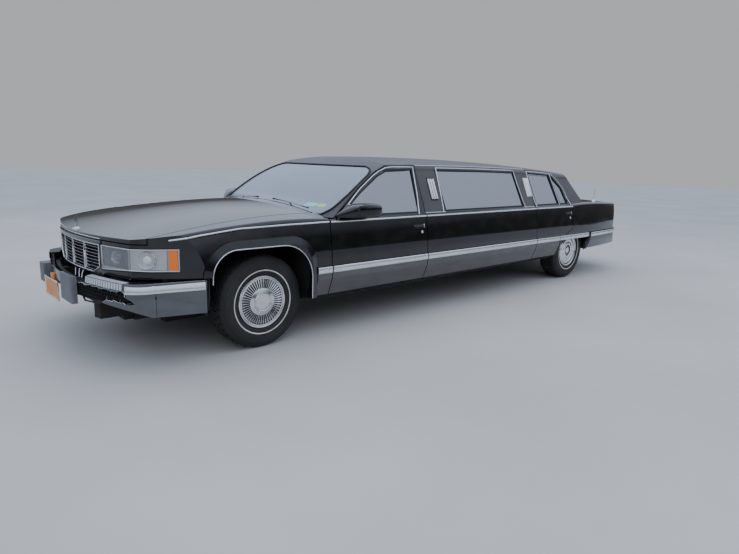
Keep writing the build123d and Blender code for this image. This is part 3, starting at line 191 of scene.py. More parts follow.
def tint(material, source, low, high, start=0.35, stop=0.65):
    tree = material.node_tree
    ramp = tree.nodes.new("ShaderNodeValToRGB")
    ramp.color_ramp.elements[0].position = start
    ramp.color_ramp.elements[0].color = (*low, 1)
    ramp.color_ramp.elements[1].position = stop
    ramp.color_ramp.elements[1].color = (*high, 1)
    tree.links.new(source, ramp.inputs["Fac"])
    tree.links.new(ramp.outputs["Color"], tree.nodes["Principled BSDF"].inputs["Base Color"])


def roughen(material, source, low, high):
    tree = material.node_tree
    span = tree.nodes.new("ShaderNodeMapRange")
    span.inputs["From Min"].default_value = 0.3
    span.inputs["From Max"].default_value = 0.7
    span.inputs["To Min"].default_value = low
    span.inputs["To Max"].default_value = high
    tree.links.new(source, span.inputs["Value"])
    tree.links.new(span.outputs["Result"], tree.nodes["Principled BSDF"].inputs["Roughness"])


def emboss(material, source, distance, strength=1.0):
    tree = material.node_tree
    shader = tree.nodes["Principled BSDF"]
    bump = tree.nodes.new("ShaderNodeBump")
    bump.inputs["Distance"].default_value = distance
    bump.inputs["Strength"].default_value = strength
    if shader.inputs["Normal"].is_linked:
        tree.links.new(shader.inputs["Normal"].links[0].from_socket, bump.inputs["Normal"])
    tree.links.new(source, bump.inputs["Height"])
    tree.links.new(bump.outputs["Normal"], shader.inputs["Normal"])


def paleFloor():
    material = newMaterial("paleFloor", (0.46, 0.46, 0.45), 0.75)
    tint(material, texture(material, "Noise", 0.6), (0.44, 0.44, 0.43), (0.49, 0.49, 0.48))
    emboss(material, texture(material, "Noise", 60), 0.002, 0.2)
    return material


def glossPaint():
    material = newMaterial("glossBlackPaint", (0.005, 0.005, 0.006), 0.08,
                           {"Specular IOR Level": 0.15, "Coat Weight": 1.0, "Coat Roughness": 0.03})
    grime = texture(material, "Noise", 7.0, (1, 1, 1.6), 6)
    tint(material, grime, (0.0035, 0.0035, 0.0045), (0.012, 0.011, 0.011), 0.45, 0.75)
    roughen(material, grime, 0.05, 0.16)
    emboss(material, texture(material, "Noise", 260, detail=1), 0.0002, 0.08)
    return material


def roofVinyl():
    material = newMaterial("grainedVinyl", (0.028, 0.027, 0.03), 0.55,
                           {"Coat Weight": 0.5, "Coat Roughness": 0.3})
    fade = texture(material, "Noise", 3.5, detail=5)
    tint(material, fade, (0.022, 0.021, 0.024), (0.046, 0.044, 0.048))
    roughen(material, fade, 0.45, 0.62)
    emboss(material, texture(material, "Voronoi", 420), 0.0009, 0.5)
    emboss(material, texture(material, "Noise", 900, detail=2), 0.0004, 0.4)
    return material


def brightMetal(name, colour, low, high, wave=0.05):
    material = newMaterial(name, colour, low, {"Metallic": 1.0})
    haze = texture(material, "Noise", 5.0, (1, 1, 3), 5)
    dull = tuple(c * 0.86 for c in colour)
    tint(material, haze, dull, colour, 0.3, 0.6)
    roughen(material, haze, high, low)
    emboss(material, texture(material, "Noise", 2.2, detail=1), 0.004, wave)
    return material


def tintedGlass(name, colour, clear, mirror):
    material = newMaterial(name, colour, 0.03, {"Transmission Weight": clear, "IOR": 1.52,
                                                "Coat Weight": 1.0,
                                               "Coat IOR": mirror, "Coat Roughness": 0.02,
                                               "Coat Tint": (0.60, 0.77, 1.0, 1)})
    film = texture(material, "Noise", 4.0, (1, 1, 2))
    roughen(material, film, 0.015, 0.05)
    tint(material, film, tuple(c * 0.9 for c in colour), colour)
    emboss(material, texture(material, "Noise", 1.4, detail=0), 0.003, 0.04)
    return material


def dullSolid(name, low, high, roughLow, roughHigh, grainScale, grainDepth, patchScale=6.0):
    material = newMaterial(name, low, roughLow)
    patch = texture(material, "Noise", patchScale, detail=5)
    tint(material, patch, low, high)
    roughen(material, patch, roughLow, roughHigh)
    emboss(material, texture(material, "Noise", grainScale, detail=3), grainDepth, 0.6)
    return material


def lens(name, colour, clear):
    material = newMaterial(name, colour, 0.06, {"Transmission Weight": clear, "IOR": 1.49,
                                               "Coat Weight": 0.6, "Coat Roughness": 0.03})
    ribs = texture(material, "Wave", 55, (0.3, 1, 0.15))
    emboss(material, ribs, 0.002, 0.35)
    haze = texture(material, "Noise", 30)
    roughen(material, haze, 0.04, 0.14)
    return material


def makeMaterials():
    made = {
        "paint": glossPaint(),
        "vinyl": roofVinyl(),
        "clad": brightMetal("mirrorCladding", (0.165, 0.165, 0.168), 0.05, 0.14, 0.12),
        "chrome": brightMetal("chromeTrim", (0.80, 0.80, 0.82), 0.05, 0.12, 0.03),
        "bumper": brightMetal("bumperChrome", (0.155, 0.16, 0.17), 0.08, 0.24, 0.12),
        "cover": brightMetal("wheelCoverSilver", (0.80, 0.81, 0.83), 0.12, 0.24, 0.02),
        "sideGlass": tintedGlass("mirrorTintGlass", (0.020, 0.024, 0.034), 0.12, 3.4),
        "screenGlass": tintedGlass("screenGlass", (0.11, 0.135, 0.145), 0.50, 3.1),
        "rubber": dullSolid("tyreRubber", (0.012, 0.012, 0.012), (0.030, 0.029, 0.028), 0.68, 0.85, 160,
                            0.0008),
        "seal": dullSolid("sealRubber", (0.008, 0.008, 0.008), (0.016, 0.016, 0.016), 0.5, 0.7, 300,
                          0.0003),
        "plastic": dullSolid("blackPlastic", (0.010, 0.010, 0.011), (0.022, 0.021, 0.021), 0.4, 0.6, 500,
                             0.0004),
        "grey": dullSolid("greyPad", (0.11, 0.115, 0.13), (0.17, 0.175, 0.19), 0.45, 0.65, 220, 0.0008),
        "foam": dullSolid("absorberFoam", (0.006, 0.006, 0.007), (0.020, 0.019, 0.018), 0.55, 0.8, 90,
                          0.003),
        # black enamel, darkened further to painted shade so the frame and running gear under the car blend
        # into the shadow
        "frame": dullSolid("frameEnamel", (0.006, 0.006, 0.006), (0.022, 0.018, 0.015), 0.6, 0.9, 70,
                           0.002),
        "iron": dullSolid("engineIron", (0.045, 0.045, 0.048), (0.11, 0.10, 0.09), 0.45, 0.7, 60, 0.002),
        "steel": dullSolid("exhaustSteel", (0.10, 0.085, 0.07), (0.22, 0.19, 0.16), 0.45, 0.7, 50, 0.002),
        "leather": dullSolid("seatLeather", (0.022, 0.021, 0.022), (0.040, 0.038, 0.038), 0.4, 0.55, 350,
                             0.0009),
        "carpet": dullSolid("cabinCarpet", (0.015, 0.015, 0.017), (0.035, 0.033, 0.034), 0.9, 1.0, 700,
                            0.003),
        "plate": dullSolid("orangePlate", (0.62, 0.22, 0.045), (0.72, 0.30, 0.07), 0.35, 0.5, 90, 0.0006),
        "red": lens("redLens", (0.35, 0.008, 0.01), 0.25),
        "clear": lens("clearLens", (0.75, 0.76, 0.78), 0.6),
        "amber": lens("amberLens", (1.0, 0.20, 0.0), 0.10),
        # near-black painted shade for the sunk parts of the wheel covers and for the space behind the
        # grille
        "coverShade": dullSolid("coverRecess", (0.006, 0.006, 0.006), (0.02, 0.019, 0.018), 0.5, 0.8, 200,
                                0.0005),
        "whiteBand": dullSolid("whiteBand", (0.50, 0.49, 0.46), (0.72, 0.71, 0.68), 0.5, 0.7, 120, 0.0004,
                               14),
        "smokedClear": lens("smokedClearLens", (0.50, 0.52, 0.55), 0.85),
        "reflector": brightMetal("lampReflector", (0.86, 0.87, 0.88), 0.10, 0.20, 0.02),
        "darkReflector": brightMetal("darkReflector", (0.20, 0.21, 0.22), 0.12, 0.25, 0.02),
        "amberReflector": brightMetal("amberReflector", (0.80, 0.42, 0.10), 0.15, 0.30, 0.02),
        "bulbGlass": lens("bulbGlass", (0.90, 0.91, 0.93), 0.3),
        "tornEdge": brightMetal("tornEdge", (0.74, 0.75, 0.78), 0.20, 0.40, 0.15),
        "paleRib": dullSolid("paleRibbedPad", (0.50, 0.52, 0.57), (0.60, 0.62, 0.66), 0.35, 0.5, 260,
                             0.0006),
        "padGround": dullSolid("padGround", (0.16, 0.17, 0.19), (0.22, 0.23, 0.25), 0.5, 0.7, 260, 0.0006),
        "stripBright": brightMetal("brightStrip", (0.90, 0.91, 0.93), 0.22, 0.34, 0.02),
        "mirrorGlass": brightMetal("mirrorGlass", (0.72, 0.75, 0.78), 0.02, 0.05, 0.01),
        "lampEdge": lens("lampEdge", (0.30, 0.31, 0.33), 0.2),
        "paleLabel": dullSolid("paleLabel", (0.16, 0.56, 0.50), (0.24, 0.64, 0.58), 0.5, 0.6, 200, 0.0002),
        "greenLabel": dullSolid("greenLabel", (0.34, 0.58, 0.20), (0.44, 0.68, 0.30), 0.5, 0.6, 200,
                                0.0002),
        "white": lens("operaLens", (0.78, 0.78, 0.80), 0.1),
    }
    print("materials made:", len(made))
    return made


finishOfNode = {
    "paint": ("boot_lid", "centre_panels", "door_front_left", "door_front_right", "door_rear_left",
              "door_rear_right", "front_fender_left", "front_fender_right", "hood_panel", "nose_panel",
              "rear_quarter_left", "rear_quarter_right"),
    "vinyl": ("roof_shell",),
    "clad": ("door_front_trim_left", "door_front_trim_right", "door_rear_trim_left",
             "door_rear_trim_right", "side_trim"),
    "chrome": ("grille", "hood_trim", "antenna"),
    "bumper": ("front_bumper", "rear_bumper"),
    "cover": ("wheel_front_left", "wheel_front_right", "wheel_rear_left", "wheel_rear_right"),
    "sideGlass": ("door_front_glass_left", "door_front_glass_right", "door_rear_glass_left",
                  "door_rear_glass_right", "fixed_windows"),
    "screenGlass": ("windshield",),
    "rubber": ("tyre_front_left", "tyre_front_right", "tyre_rear_left", "tyre_rear_right"),
    "plastic": ("cowl_panel", "dashboard", "steering_wheel", "wipers", "wheel_housings", "partition"),
    "grey": ("bumper_guards",),
    "foam": ("bumper_absorber",),
    # the frame finish is near black: enamel plus painted shade under the car
    "frame": ("chassis_frame", "rear_axle", "suspension", "knuckle_left", "knuckle_right", "fuel_tank"),
    "iron": ("engine_block",),
    "steel": ("exhaust_system",),
    "leather": ("front_seat", "rear_seats"),
    "carpet": ("floor_pan",),
    "plate": ("front_plate",),
    "clear": ("headlamps",),
    "red": ("tail_lamps",),
    "white": ("opera_lamps",),
}


def finishNodes():
    for finish, names in finishOfNode.items():
        for name in names:
            slots = nodes[name].material_slots
            for slot in slots:
                slot.material = finishes[finish]


# Modelling helpers

def clearAll():
    if bpy.context.object and bpy.context.object.mode != "OBJECT":
        bpy.ops.object.mode_set(mode="OBJECT")
    bpy.ops.object.select_all(action="DESELECT")


def only(piece):
    clearAll()
    piece.select_set(True)
    bpy.context.view_layer.objects.active = piece


def edit(piece, mode="FACE"):
    only(piece)
    bpy.ops.object.mode_set(mode="EDIT")
    bpy.ops.mesh.select_mode(type=mode)
    bpy.ops.mesh.select_all(action="SELECT")


def chooseFaces(piece, test):
    bpy.ops.mesh.select_mode(type="FACE")
    bpy.ops.mesh.select_all(action="DESELECT")
    mesh = bmesh.from_edit_mesh(piece.data)
    for face in mesh.faces:
        face.select_set(test(face.calc_center_median(), face.normal))
    bmesh.update_edit_mesh(piece.data)


def sunkFace(piece, way, border, move):
    # the faces that look one way, drawn in by a border and moved
    across, sign = "XYZ".index(way[-1]), -1 if way[0] == "-" else 1
    edit(piece)
    chooseFaces(piece, lambda centre, normal: normal[across] * sign > 0.9)
    bpy.ops.mesh.inset(thickness=border)
    bpy.ops.transform.translate(value=move)
    bpy.ops.object.mode_set(mode="OBJECT")


def useModifier(piece, kind, **settings):
    only(piece)
    modifier = piece.modifiers.new(kind.title(), kind)
    for key, value in settings.items():
        setattr(modifier, key, value)
    bpy.ops.object.modifier_apply(modifier=modifier.name)


def settle(piece, name, finish, body=None, rounding=0, smooth=35, segments=2):
    only(piece)
    if piece.type != "MESH":
        bpy.ops.object.convert(target="MESH")
        piece = bpy.context.object
    bpy.ops.object.transform_apply(location=True, rotation=True, scale=True)
    if rounding:
        useModifier(piece, "BEVEL", width=rounding, segments=segments, limit_method="ANGLE",
                    angle_limit=math.radians(40))
    bpy.ops.object.shade_smooth_by_angle(angle=math.radians(smooth))
    piece.name = name
    piece.data.name = name
    if finish:
        piece.data.materials.clear()
        piece.data.materials.append(finishes[finish])
    if body:
        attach(piece, body)
    return piece


def turnBy(degrees, axis):
    return Matrix.Rotation(math.radians(degrees), 4, axis)


def turnTowards(direction):
    return Vector(direction).to_track_quat("Z", "Y").to_matrix().to_4x4()


def boxBetween(name, lowCorner, highCorner):
    middle = (Vector(lowCorner) + Vector(highCorner)) / 2
    bpy.ops.mesh.primitive_cube_add(size=1, location=middle)
    piece = bpy.context.object
    piece.scale = Vector(highCorner) - Vector(lowCorner)
    bpy.ops.object.transform_apply()
    piece.name = name
    return piece


def turned(name, steps, segments=96, capped=False):
    clearAll()
    radius, height = steps[0]
    bpy.ops.mesh.primitive_circle_add(vertices=segments, radius=radius, location=(0, 0, height))
    piece = bpy.context.object
    piece.name = name
    bpy.ops.object.transform_apply()
    edit(piece, "EDGE")
    for newRadius, newHeight in steps[1:]:
        grow = newRadius / radius
        bpy.ops.mesh.extrude_edges_move(TRANSFORM_OT_translate={"value": (0, 0, newHeight - height)})
        bpy.ops.transform.resize(value=(grow, grow, 1), center_override=(0, 0, 0))
        radius, height = newRadius, newHeight
    if capped:
        bpy.ops.mesh.select_all(action="SELECT")
        bpy.ops.mesh.region_to_loop()
        bpy.ops.mesh.edge_face_add()
    bpy.ops.mesh.select_all(action="SELECT")
    bpy.ops.mesh.remove_doubles(threshold=0.00002)
    bpy.ops.mesh.normals_make_consistent(inside=False)
    bpy.ops.object.mode_set(mode="OBJECT")
    return piece


def turnedPart(name, steps, segments, place, finish, body=None, smooth=40, capped=False):
    # a turned piece set down at its place
    piece = turned(name, steps, segments, capped)
    piece.data.transform(place)
    return settle(piece, name, finish, body, smooth=smooth)


def rod(name, points, radius, finish, body=None, closed=False, sides=3, kind="POLY"):
    clearAll()
    bpy.ops.curve.primitive_bezier_curve_add()
    line = bpy.context.object
    line.data.splines.clear()
    spline = line.data.splines.new(kind)
    spline.points.add(len(points) - 1)
    for point, place in zip(spline.points, points):
        point.co = (*place, 1)
    spline.use_cyclic_u = closed
    if kind == "NURBS":
        spline.order_u = 3
        spline.use_endpoint_u = True
    line.data.dimensions = "3D"
    line.data.bevel_depth = radius
    line.data.bevel_resolution = sides
    line.data.use_fill_caps = not closed
    line.location = (0, 0, 0)
    line.rotation_euler = (0, 0, 0)
    return settle(line, name, finish, body, smooth=60)


def placedCopy(master, name, matrix, body):
    piece = bpy.data.objects.new(name, master.data.copy())
    bpy.context.scene.collection.objects.link(piece)
    piece.data.transform(matrix)
    if matrix.determinant() < 0:
        piece.data.flip_normals()
    piece.data.name = name
    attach(piece, body)
    return piece


mirrorMatrix = Matrix.Scale(-1, 4, (0, 1, 0))


def otherSide(piece, body=None):
    return placedCopy(piece, piece.name.replace("Left", "Right"), mirrorMatrix,
                      body or piece["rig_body"].replace("left", "right"))


def joined(pieces, name):
    clearAll()
    for piece in pieces:
        piece.select_set(True)
    bpy.context.view_layer.objects.active = pieces[0]
    bpy.ops.object.join()
    bpy.context.object.name = name
    return bpy.context.object


def discard(*pieces):
    for piece in pieces:
        bpy.data.objects.remove(piece)


def nodeCopy(node, name):
    piece = bpy.data.objects.new(name, nodes[node].data.copy())
    bpy.context.scene.collection.objects.link(piece)
    edit(piece)
    bpy.ops.mesh.remove_doubles(threshold=0.00001)
    bpy.ops.mesh.customdata_custom_splitnormals_clear()
    bpy.ops.object.mode_set(mode="OBJECT")
    return piece


def meets(node, start, direction):
    # where a line meets a CAD node, or None
    found, place, _, _ = nodes[node].ray_cast(Vector(start), Vector(direction))
    return place if found else None


def surfaceSpot(node, start, direction, out=0.0):
    # the same, moved back towards the start by out
    place = meets(node, start, direction)
    if place is None:
        raise ValueError(f"nothing of {node} in line with {start}")
    return place - Vector(direction).normalized() * out


# Wheels and tyres

tyre = {
    # radius and distance from the middle plane, from the bead outwards and round to the inner bead
    "outerWall": ((0.1965, 0.089), (0.204, 0.0965), (0.214, 0.1035), (0.2300, 0.1108), (0.2375, 0.1128),
                  (0.2383, 0.1142), (0.2455, 0.1152), (0.2463, 0.1140), (0.2620, 0.1160), (0.2750, 0.1170),
                  (0.2950, 0.1158), (0.3100, 0.1125), (0.3110, 0.1140), (0.3190, 0.1110), (0.3200, 0.1085),
                  (0.3290, 0.1060), (0.3300, 0.1078), (0.3400, 0.1015), (0.3480, 0.0930), (0.3510, 0.0860)),
    "innerWall": ((0.3480, -0.0930), (0.3400, -0.1015), (0.3170, -0.1100), (0.2950, -0.1158),
                  (0.2750, -0.1170), (0.2300, -0.1108), (0.204, -0.0965), (0.1965, -0.089)),
    "treadRadius": 0.3548,
    "treadHalf": 0.0800,
    "grooves": (0.0560, 0.0200, -0.0200, -0.0560),
    "grooveHalf": 0.0042,
    "grooveDepth": 0.0075,
    "pitches": 120,
    "sipeDepth": 0.006,
    "whiteBand": (0.2384, 0.2456),
}


def treadSteps():
    radius = tyre["treadRadius"]
    half = tyre["grooveHalf"]
    floor = radius - tyre["grooveDepth"]
    steps = [(radius - 0.0012, tyre["treadHalf"])]
    for centre in tyre["grooves"]:
        crown = radius - 0.0004 * abs(centre) / 0.056
        steps += [(crown, centre + half), (floor, centre + half * 0.7), (floor, centre - half * 0.7),
                  (crown, centre - half)]
    steps.append((radius - 0.0012, -tyre["treadHalf"]))
    return steps


def makeTyreMaster():
    steps = [*tyre["outerWall"], *treadSteps(), (0.3510, -0.0860), *tyre["innerWall"], tyre["outerWall"][0]]
    master = turned("tyreMaster", steps, tyre["pitches"])
    step = 2 * math.pi / tyre["pitches"]

    def isSipe(centre, normal):
        reach = math.hypot(centre.x, centre.y)
        turn = int((math.atan2(centre.y, centre.x) + math.pi) / step)
        side = abs(centre.z)
        if normal.x * centre.x + normal.y * centre.y < 0.1 * reach or side > 0.094 or reach < 0.345:
            return False
        if side > tyre["grooves"][0] + tyre["grooveHalf"]:
            return turn % 3 == 0
        middle = side < tyre["grooves"][1] - tyre["grooveHalf"]
        between = tyre["grooves"][1] + tyre["grooveHalf"] < side < tyre["grooves"][0] - tyre["grooveHalf"]
        return (middle and turn % 4 == 1) or (between and turn % 3 == (1 if centre.z > 0 else 2))

    edit(master)
    chooseFaces(master, isSipe)
    bpy.ops.mesh.extrude_region_shrink_fatten(TRANSFORM_OT_shrink_fatten={"value": -tyre["sipeDepth"]})
    bpy.ops.object.mode_set(mode="OBJECT")
    settle(master, "tyreMaster", "rubber", smooth=32)
    master.data.materials.append(finishes["whiteBand"])
    inner, outer = tyre["whiteBand"]
    for face in master.data.polygons:
        reach = math.hypot(face.center.x, face.center.y)
        if face.center.z > 0.1 and inner - 0.0012 < reach < outer + 0.0012:
            face.material_index = 1
    return master


frontCover = {
    "rim": ((0.1960, 0.0880), (0.2015, 0.0905), (0.2025, 0.0960), (0.2022, 0.1010), (0.1985, 0.1058),
            (0.1930, 0.1072), (0.1888, 0.1052), (0.1868, 0.1010), (0.1855, 0.0975), (0.1840, 0.1005),
            (0.1805, 0.1035), (0.1765, 0.1035), (0.1740, 0.0990), (0.1722, 0.0860)),
    "well": ((0.1722, 0.0860), (0.1090, 0.0920), (0.1040, 0.1010)),
    "centre": ((0.1040, 0.1010), (0.0990, 0.1035), (0.0800, 0.1070), (0.0745, 0.1090), (0.0725, 0.1130),
               (0.0695, 0.1158), (0.0655, 0.1163), (0.0620, 0.1145), (0.0600, 0.1100), (0.0550, 0.1088),
               (0.0300, 0.1102), (0.0004, 0.1108)),
    "fins": 50,
    "finReach": (0.0985, 0.1735),
    "finWidth": (0.0046, 0.0084),
    "finThick": 0.0022,
    "finLean": 24,
    "finHeight": (0.1015, 0.0975),
}


def makeFrontCover():
    cover = turned("coverMaster", [*frontCover["rim"], *frontCover["well"][1:], *frontCover["centre"][1:]],
                   100, capped=True)
    settle(cover, "coverMaster", "cover", smooth=30)
    # the sunk well between the fins is painted near black: painted shade in the recess
    cover.data.materials.append(finishes["coverShade"])
    for face in cover.data.polygons:
        reach = math.hypot(face.center.x, face.center.y)
        if 0.106 < reach < 0.1735 and face.center.z > 0.085:
            face.material_index = 1
    near, far = frontCover["finReach"]
    fin = boxBetween("fin", (near, -0.5, -0.5), (far, 0.5, 0.5))
    edit(fin)
    thick = frontCover["finThick"]
    for end, width, height in ((0, *pairAt(0)), (1, *pairAt(1))):
        chooseFaces(fin, lambda centre, normal: abs(normal.x) > 0.9 and (centre.x > 0.14) == bool(end))
        bpy.ops.transform.resize(value=(1, width, thick), center_override=(0, 0, 0))
        bpy.ops.transform.translate(value=(0, 0, height))
    bpy.ops.mesh.select_all(action="SELECT")
    bpy.ops.transform.rotate(value=math.radians(frontCover["finLean"]), orient_axis="X",
                             center_override=(0.14, 0, 0.0995))
    count = frontCover["fins"]
    bpy.ops.mesh.spin(steps=count - 1, dupli=True, angle=2 * math.pi * (count - 1) / count,
                      center=(0, 0, 0), axis=(0, 0, 1))
    settle(fin, "fins", "cover", rounding=0.0006, segments=1, smooth=30)
    return joined([cover, fin], "coverMaster")


def pairAt(end):
    return frontCover["finWidth"][end], frontCover["finHeight"][end]


rearCover = {
    "steps": ((0.1960, 0.0880), (0.2015, 0.0905), (0.2025, 0.0960), (0.2022, 0.1010), (0.1985, 0.1058),
              (0.1925, 0.1070), (0.1880, 0.1035), (0.1860, 0.0970), (0.1670, 0.0930), (0.1625, 0.0960),
              (0.1590, 0.1000), (0.1540, 0.1015), (0.1370, 0.1020), (0.1330, 0.0985), (0.1120, 0.0960),
              (0.1080, 0.0995), (0.1040, 0.1010), (0.0720, 0.1015), (0.0690, 0.0985), (0.0670, 0.0870),
              (0.0420, 0.0860), (0.0400, 0.0920), (0.0370, 0.0960), (0.0200, 0.0975), (0.0004, 0.0978)),
    "darkRing": (0.0405, 0.0688),
}


def makeRearCover():
    cover = turned("rearCoverMaster", rearCover["steps"], 96, capped=True)
    settle(cover, "rearCoverMaster", "cover", smooth=30)
    # the sunk ring is painted near black: painted shade in the recess
    cover.data.materials.append(finishes["coverShade"])
    inner, outer = rearCover["darkRing"]
    for face in cover.data.polygons:
        reach = math.hypot(face.center.x, face.center.y)
        if inner < reach < outer and face.center.z > 0.08:
            face.material_index = 1
    return cover


rimSteps = ((0.1965, 0.0885), (0.1965, -0.0890), (0.1885, -0.0890), (0.1840, -0.0800), (0.1700, -0.0720),
            (0.1690, -0.0300), (0.1800, 0.0100), (0.1650, 0.0250), (0.0900, 0.0450), (0.0720, 0.0300),
            (0.0500, 0.0100), (0.0004, 0.0100))


def makeWheels():
    tyreMaster = makeTyreMaster()
    covers = {"front": makeFrontCover(), "rear": makeRearCover()}
    rim = turned("rimMaster", rimSteps, 64, capped=True)
    settle(rim, "rimMaster", "steel", smooth=30)
    for end, axle in (("front", frontAxle), ("rear", rearAxle)):
        for side, sign in sides:
            node = f"wheel_{end}_{side}"
            body = node + "_body"
            low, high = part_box(f"tyre_{end}_{side}")
            place = Matrix.Translation((axle, (low.y + high.y) / 2, tyreRadius))
            place @= turnBy(-90 * sign, "X")
            label = end.title() + side.title()
            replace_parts(placedCopy(tyreMaster, "tyre" + label, place, body), f"tyre_{end}_{side}")
            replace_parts(placedCopy(covers[end], "wheelCover" + label, place, body), node)
            placedCopy(rim, "wheelRim" + label, place, body)
    discard(tyreMaster, covers["front"], covers["rear"], rim)
    print("wheels made")


def arcThrough(start, middle, end, steps):
    # points in plan on the circle through three points
    (ax, ay), (bx, by), (cx, cy) = start, middle, end
    twice = 2 * (ax * (by - cy) + bx * (cy - ay) + cx * (ay - by))
    sa, sb, sc = ax * ax + ay * ay, bx * bx + by * by, cx * cx + cy * cy
    centre = Vector(((sa * (by - cy) + sb * (cy - ay) + sc * (ay - by)) / twice,
                     (sa * (cx - bx) + sb * (ax - cx) + sc * (bx - ax)) / twice))
    first = Vector(start) - centre
    whole = first.angle_signed(Vector(end) - centre)
    points = []
    for step in range(steps + 1):
        points.append(centre + Matrix.Rotation(-whole * step / steps, 2) @ first)
    return points


def movedOut(points, out):
    # a plan line moved to its left-hand side by out
    moved = []
    for index, point in enumerate(points):
        run = points[min(index + 1, len(points) - 1)] - points[max(index - 1, 0)]
        moved.append(point - Vector((-run.y, run.x)).normalized() * out)
    return moved


def raised(points, height):
    # a plan line set at a height, which may change along x and y
    return [(point.x, point.y, height(point) if callable(height) else height) for point in points]


def spun(name, section, centre, start, stop, steps):
    # section points are radius and height, swept from start round to stop, in degrees
    clearAll()
    bpy.ops.mesh.primitive_circle_add(vertices=len(section), fill_type="NGON")
    piece = bpy.context.object
    turn = math.radians(start)
    for vertex, (radius, height) in zip(piece.data.vertices, section):
        vertex.co = (centre[0] + radius * math.cos(turn), centre[1] + radius * math.sin(turn), height)
    piece.name = name
    edit(piece)
    bpy.ops.mesh.spin(steps=steps, angle=math.radians(start - stop), center=(*centre, 0), axis=(0, 0, 1))
    bpy.ops.mesh.select_all(action="SELECT")
    bpy.ops.mesh.remove_doubles(threshold=0.00001)
    bpy.ops.mesh.normals_make_consistent(inside=False)
    bpy.ops.object.mode_set(mode="OBJECT")
    return piece


def ribbon(name, rows):
    # a sheet through rows of points, each row as long as the others
    clearAll()
    long, tall = len(rows[0]), len(rows)
    bpy.ops.mesh.primitive_grid_add(x_subdivisions=long - 1, y_subdivisions=tall - 1, size=1)
    sheet = bpy.context.object
    sheet.name = name
    for index, vertex in enumerate(sheet.data.vertices):
        vertex.co = rows[index // long][index % long]
    return sheet


def facing(sheet, direction):
    # turns the sheet so that it faces the way named
    total = sum((face.normal * face.area for face in sheet.data.polygons), Vector())
    if total.dot(Vector(direction)) < 0:
        sheet.data.flip_normals()
    return sheet


# Nose: egg-crate grille, header, hood edge and lamps

nose = {
    "front": frontAxle + 1.03,
    "arcRadius": 2.226,
    "grilleTop": 0.806,
    "grilleBreak": 0.655,
    "grilleLow": 0.603,
    "halfTop": 0.432,
    "halfLow": 0.350,
    "uprights": (-0.216, 0.0, 0.216),
    "uprightWidth": 0.0065,
    "levelRows": 9,
    "levelThick": 0.0042,
    "barDepth": 0.040,
    "header": (0.805, 0.834),
    "headerHalf": 11.7,
    "frameRadius": 0.0055,
}
noseCentre = (nose["front"] - nose["arcRadius"], 0)


def noseX(y, out=0.0):
    return noseCentre[0] + math.sqrt((nose["arcRadius"] + out) ** 2 - y * y)


def grilleHalf(height):
    if height >= nose["grilleBreak"]:
        return nose["halfTop"]
    share = (height - nose["grilleLow"]) / (nose["grilleBreak"] - nose["grilleLow"])
    return nose["halfLow"] + share * (nose["halfTop"] - nose["halfLow"])


def makeGrille():
    radius = nose["arcRadius"]
    pieces = []
    pitch = (nose["grilleTop"] - nose["grilleLow"]) / nose["levelRows"]
    half = nose["levelThick"] / 2
    for row in range(1, nose["levelRows"]):
        height = nose["grilleLow"] + row * pitch
        reach = math.degrees(math.asin((grilleHalf(height) - 0.006) / radius))
        section = ((radius - nose["barDepth"], height - half * 0.5), (radius - 0.003, height - half),
                   (radius + 0.001, height - half * 0.4), (radius + 0.001, height + half * 0.4),
                   (radius - 0.003, height + half), (radius - nose["barDepth"], height + half * 0.5))
        bar = spun("grilleLevel", section, noseCentre, reach, -reach, 24)
        settle(bar, "grilleLevel", "chrome", smooth=20)
        pieces.append(bar)
    for y in nose["uprights"]:
        width = nose["uprightWidth"] / 2
        bar = boxBetween("grilleUpright", (noseX(y) - nose["barDepth"], y - width,
                                           nose["grilleLow"] + 0.004),
                         (noseX(y) + 0.005, y + width, nose["grilleTop"] + 0.002))
        sunkFace(bar, "X", 0.0022, (0.0022, 0, 0))
        settle(bar, "grilleUpright", "chrome", rounding=0.0012, smooth=25)
        pieces.append(bar)
    outline = []
    top, low = nose["halfTop"] - 0.0065, nose["halfLow"] - 0.004
    for step in range(25):
        y = top - 2 * top * step / 24
        outline.append((noseX(y, 0.001), y, nose["grilleTop"] - 0.004))
    outline.append((noseX(top, 0.001), -top, nose["grilleBreak"]))
    for step in range(21):
        y = -low + 2 * low * step / 20
        outline.append((noseX(y, 0.001), y, nose["grilleLow"] + 0.006))
    outline.append((noseX(top, 0.001), top, nose["grilleBreak"]))
    pieces.append(rod("grilleFrame", outline, nose["frameRadius"], "chrome", closed=True, sides=4))
    low, high = nose["header"]
    section = ((radius - 0.02, low), (radius + 0.005, low + 0.001), (radius + 0.009, low + 0.006),
               (radius + 0.009, high - 0.007), (radius + 0.005, high - 0.001), (radius - 0.02, high))
    header = spun("grilleHeader", section, noseCentre, nose["headerHalf"], -nose["headerHalf"], 40)
    pieces.append(settle(header, "grilleHeader", "bumper", rounding=0.0015, smooth=25))
    grille = joined(pieces, "grilleEggCrate")
    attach(grille, "car")
    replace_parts(grille, "grille")
    # a near-black sheet behind the grille bars: painted shade in the grille's depth
    backing = spun("grilleShroud", ((radius - 0.085, 0.595), (radius - 0.080, 0.595),
                                    (radius - 0.080, 0.815),
                                    (radius - 0.085, 0.815)), noseCentre, 11, -11, 24)
    settle(backing, "grilleShroud", "coverShade", "car", smooth=30)
    print("grille made")


nosePlan = {
    "corner": (frontAxle + 0.902, 0.744),
    "bulge": (frontAxle + 0.840, 0.800),
    "turn": (frontAxle + 0.800, 0.829),
    "side": (frontAxle + 0.635, 0.910),
    "arch": (frontAxle + 0.455, 0.990),
}


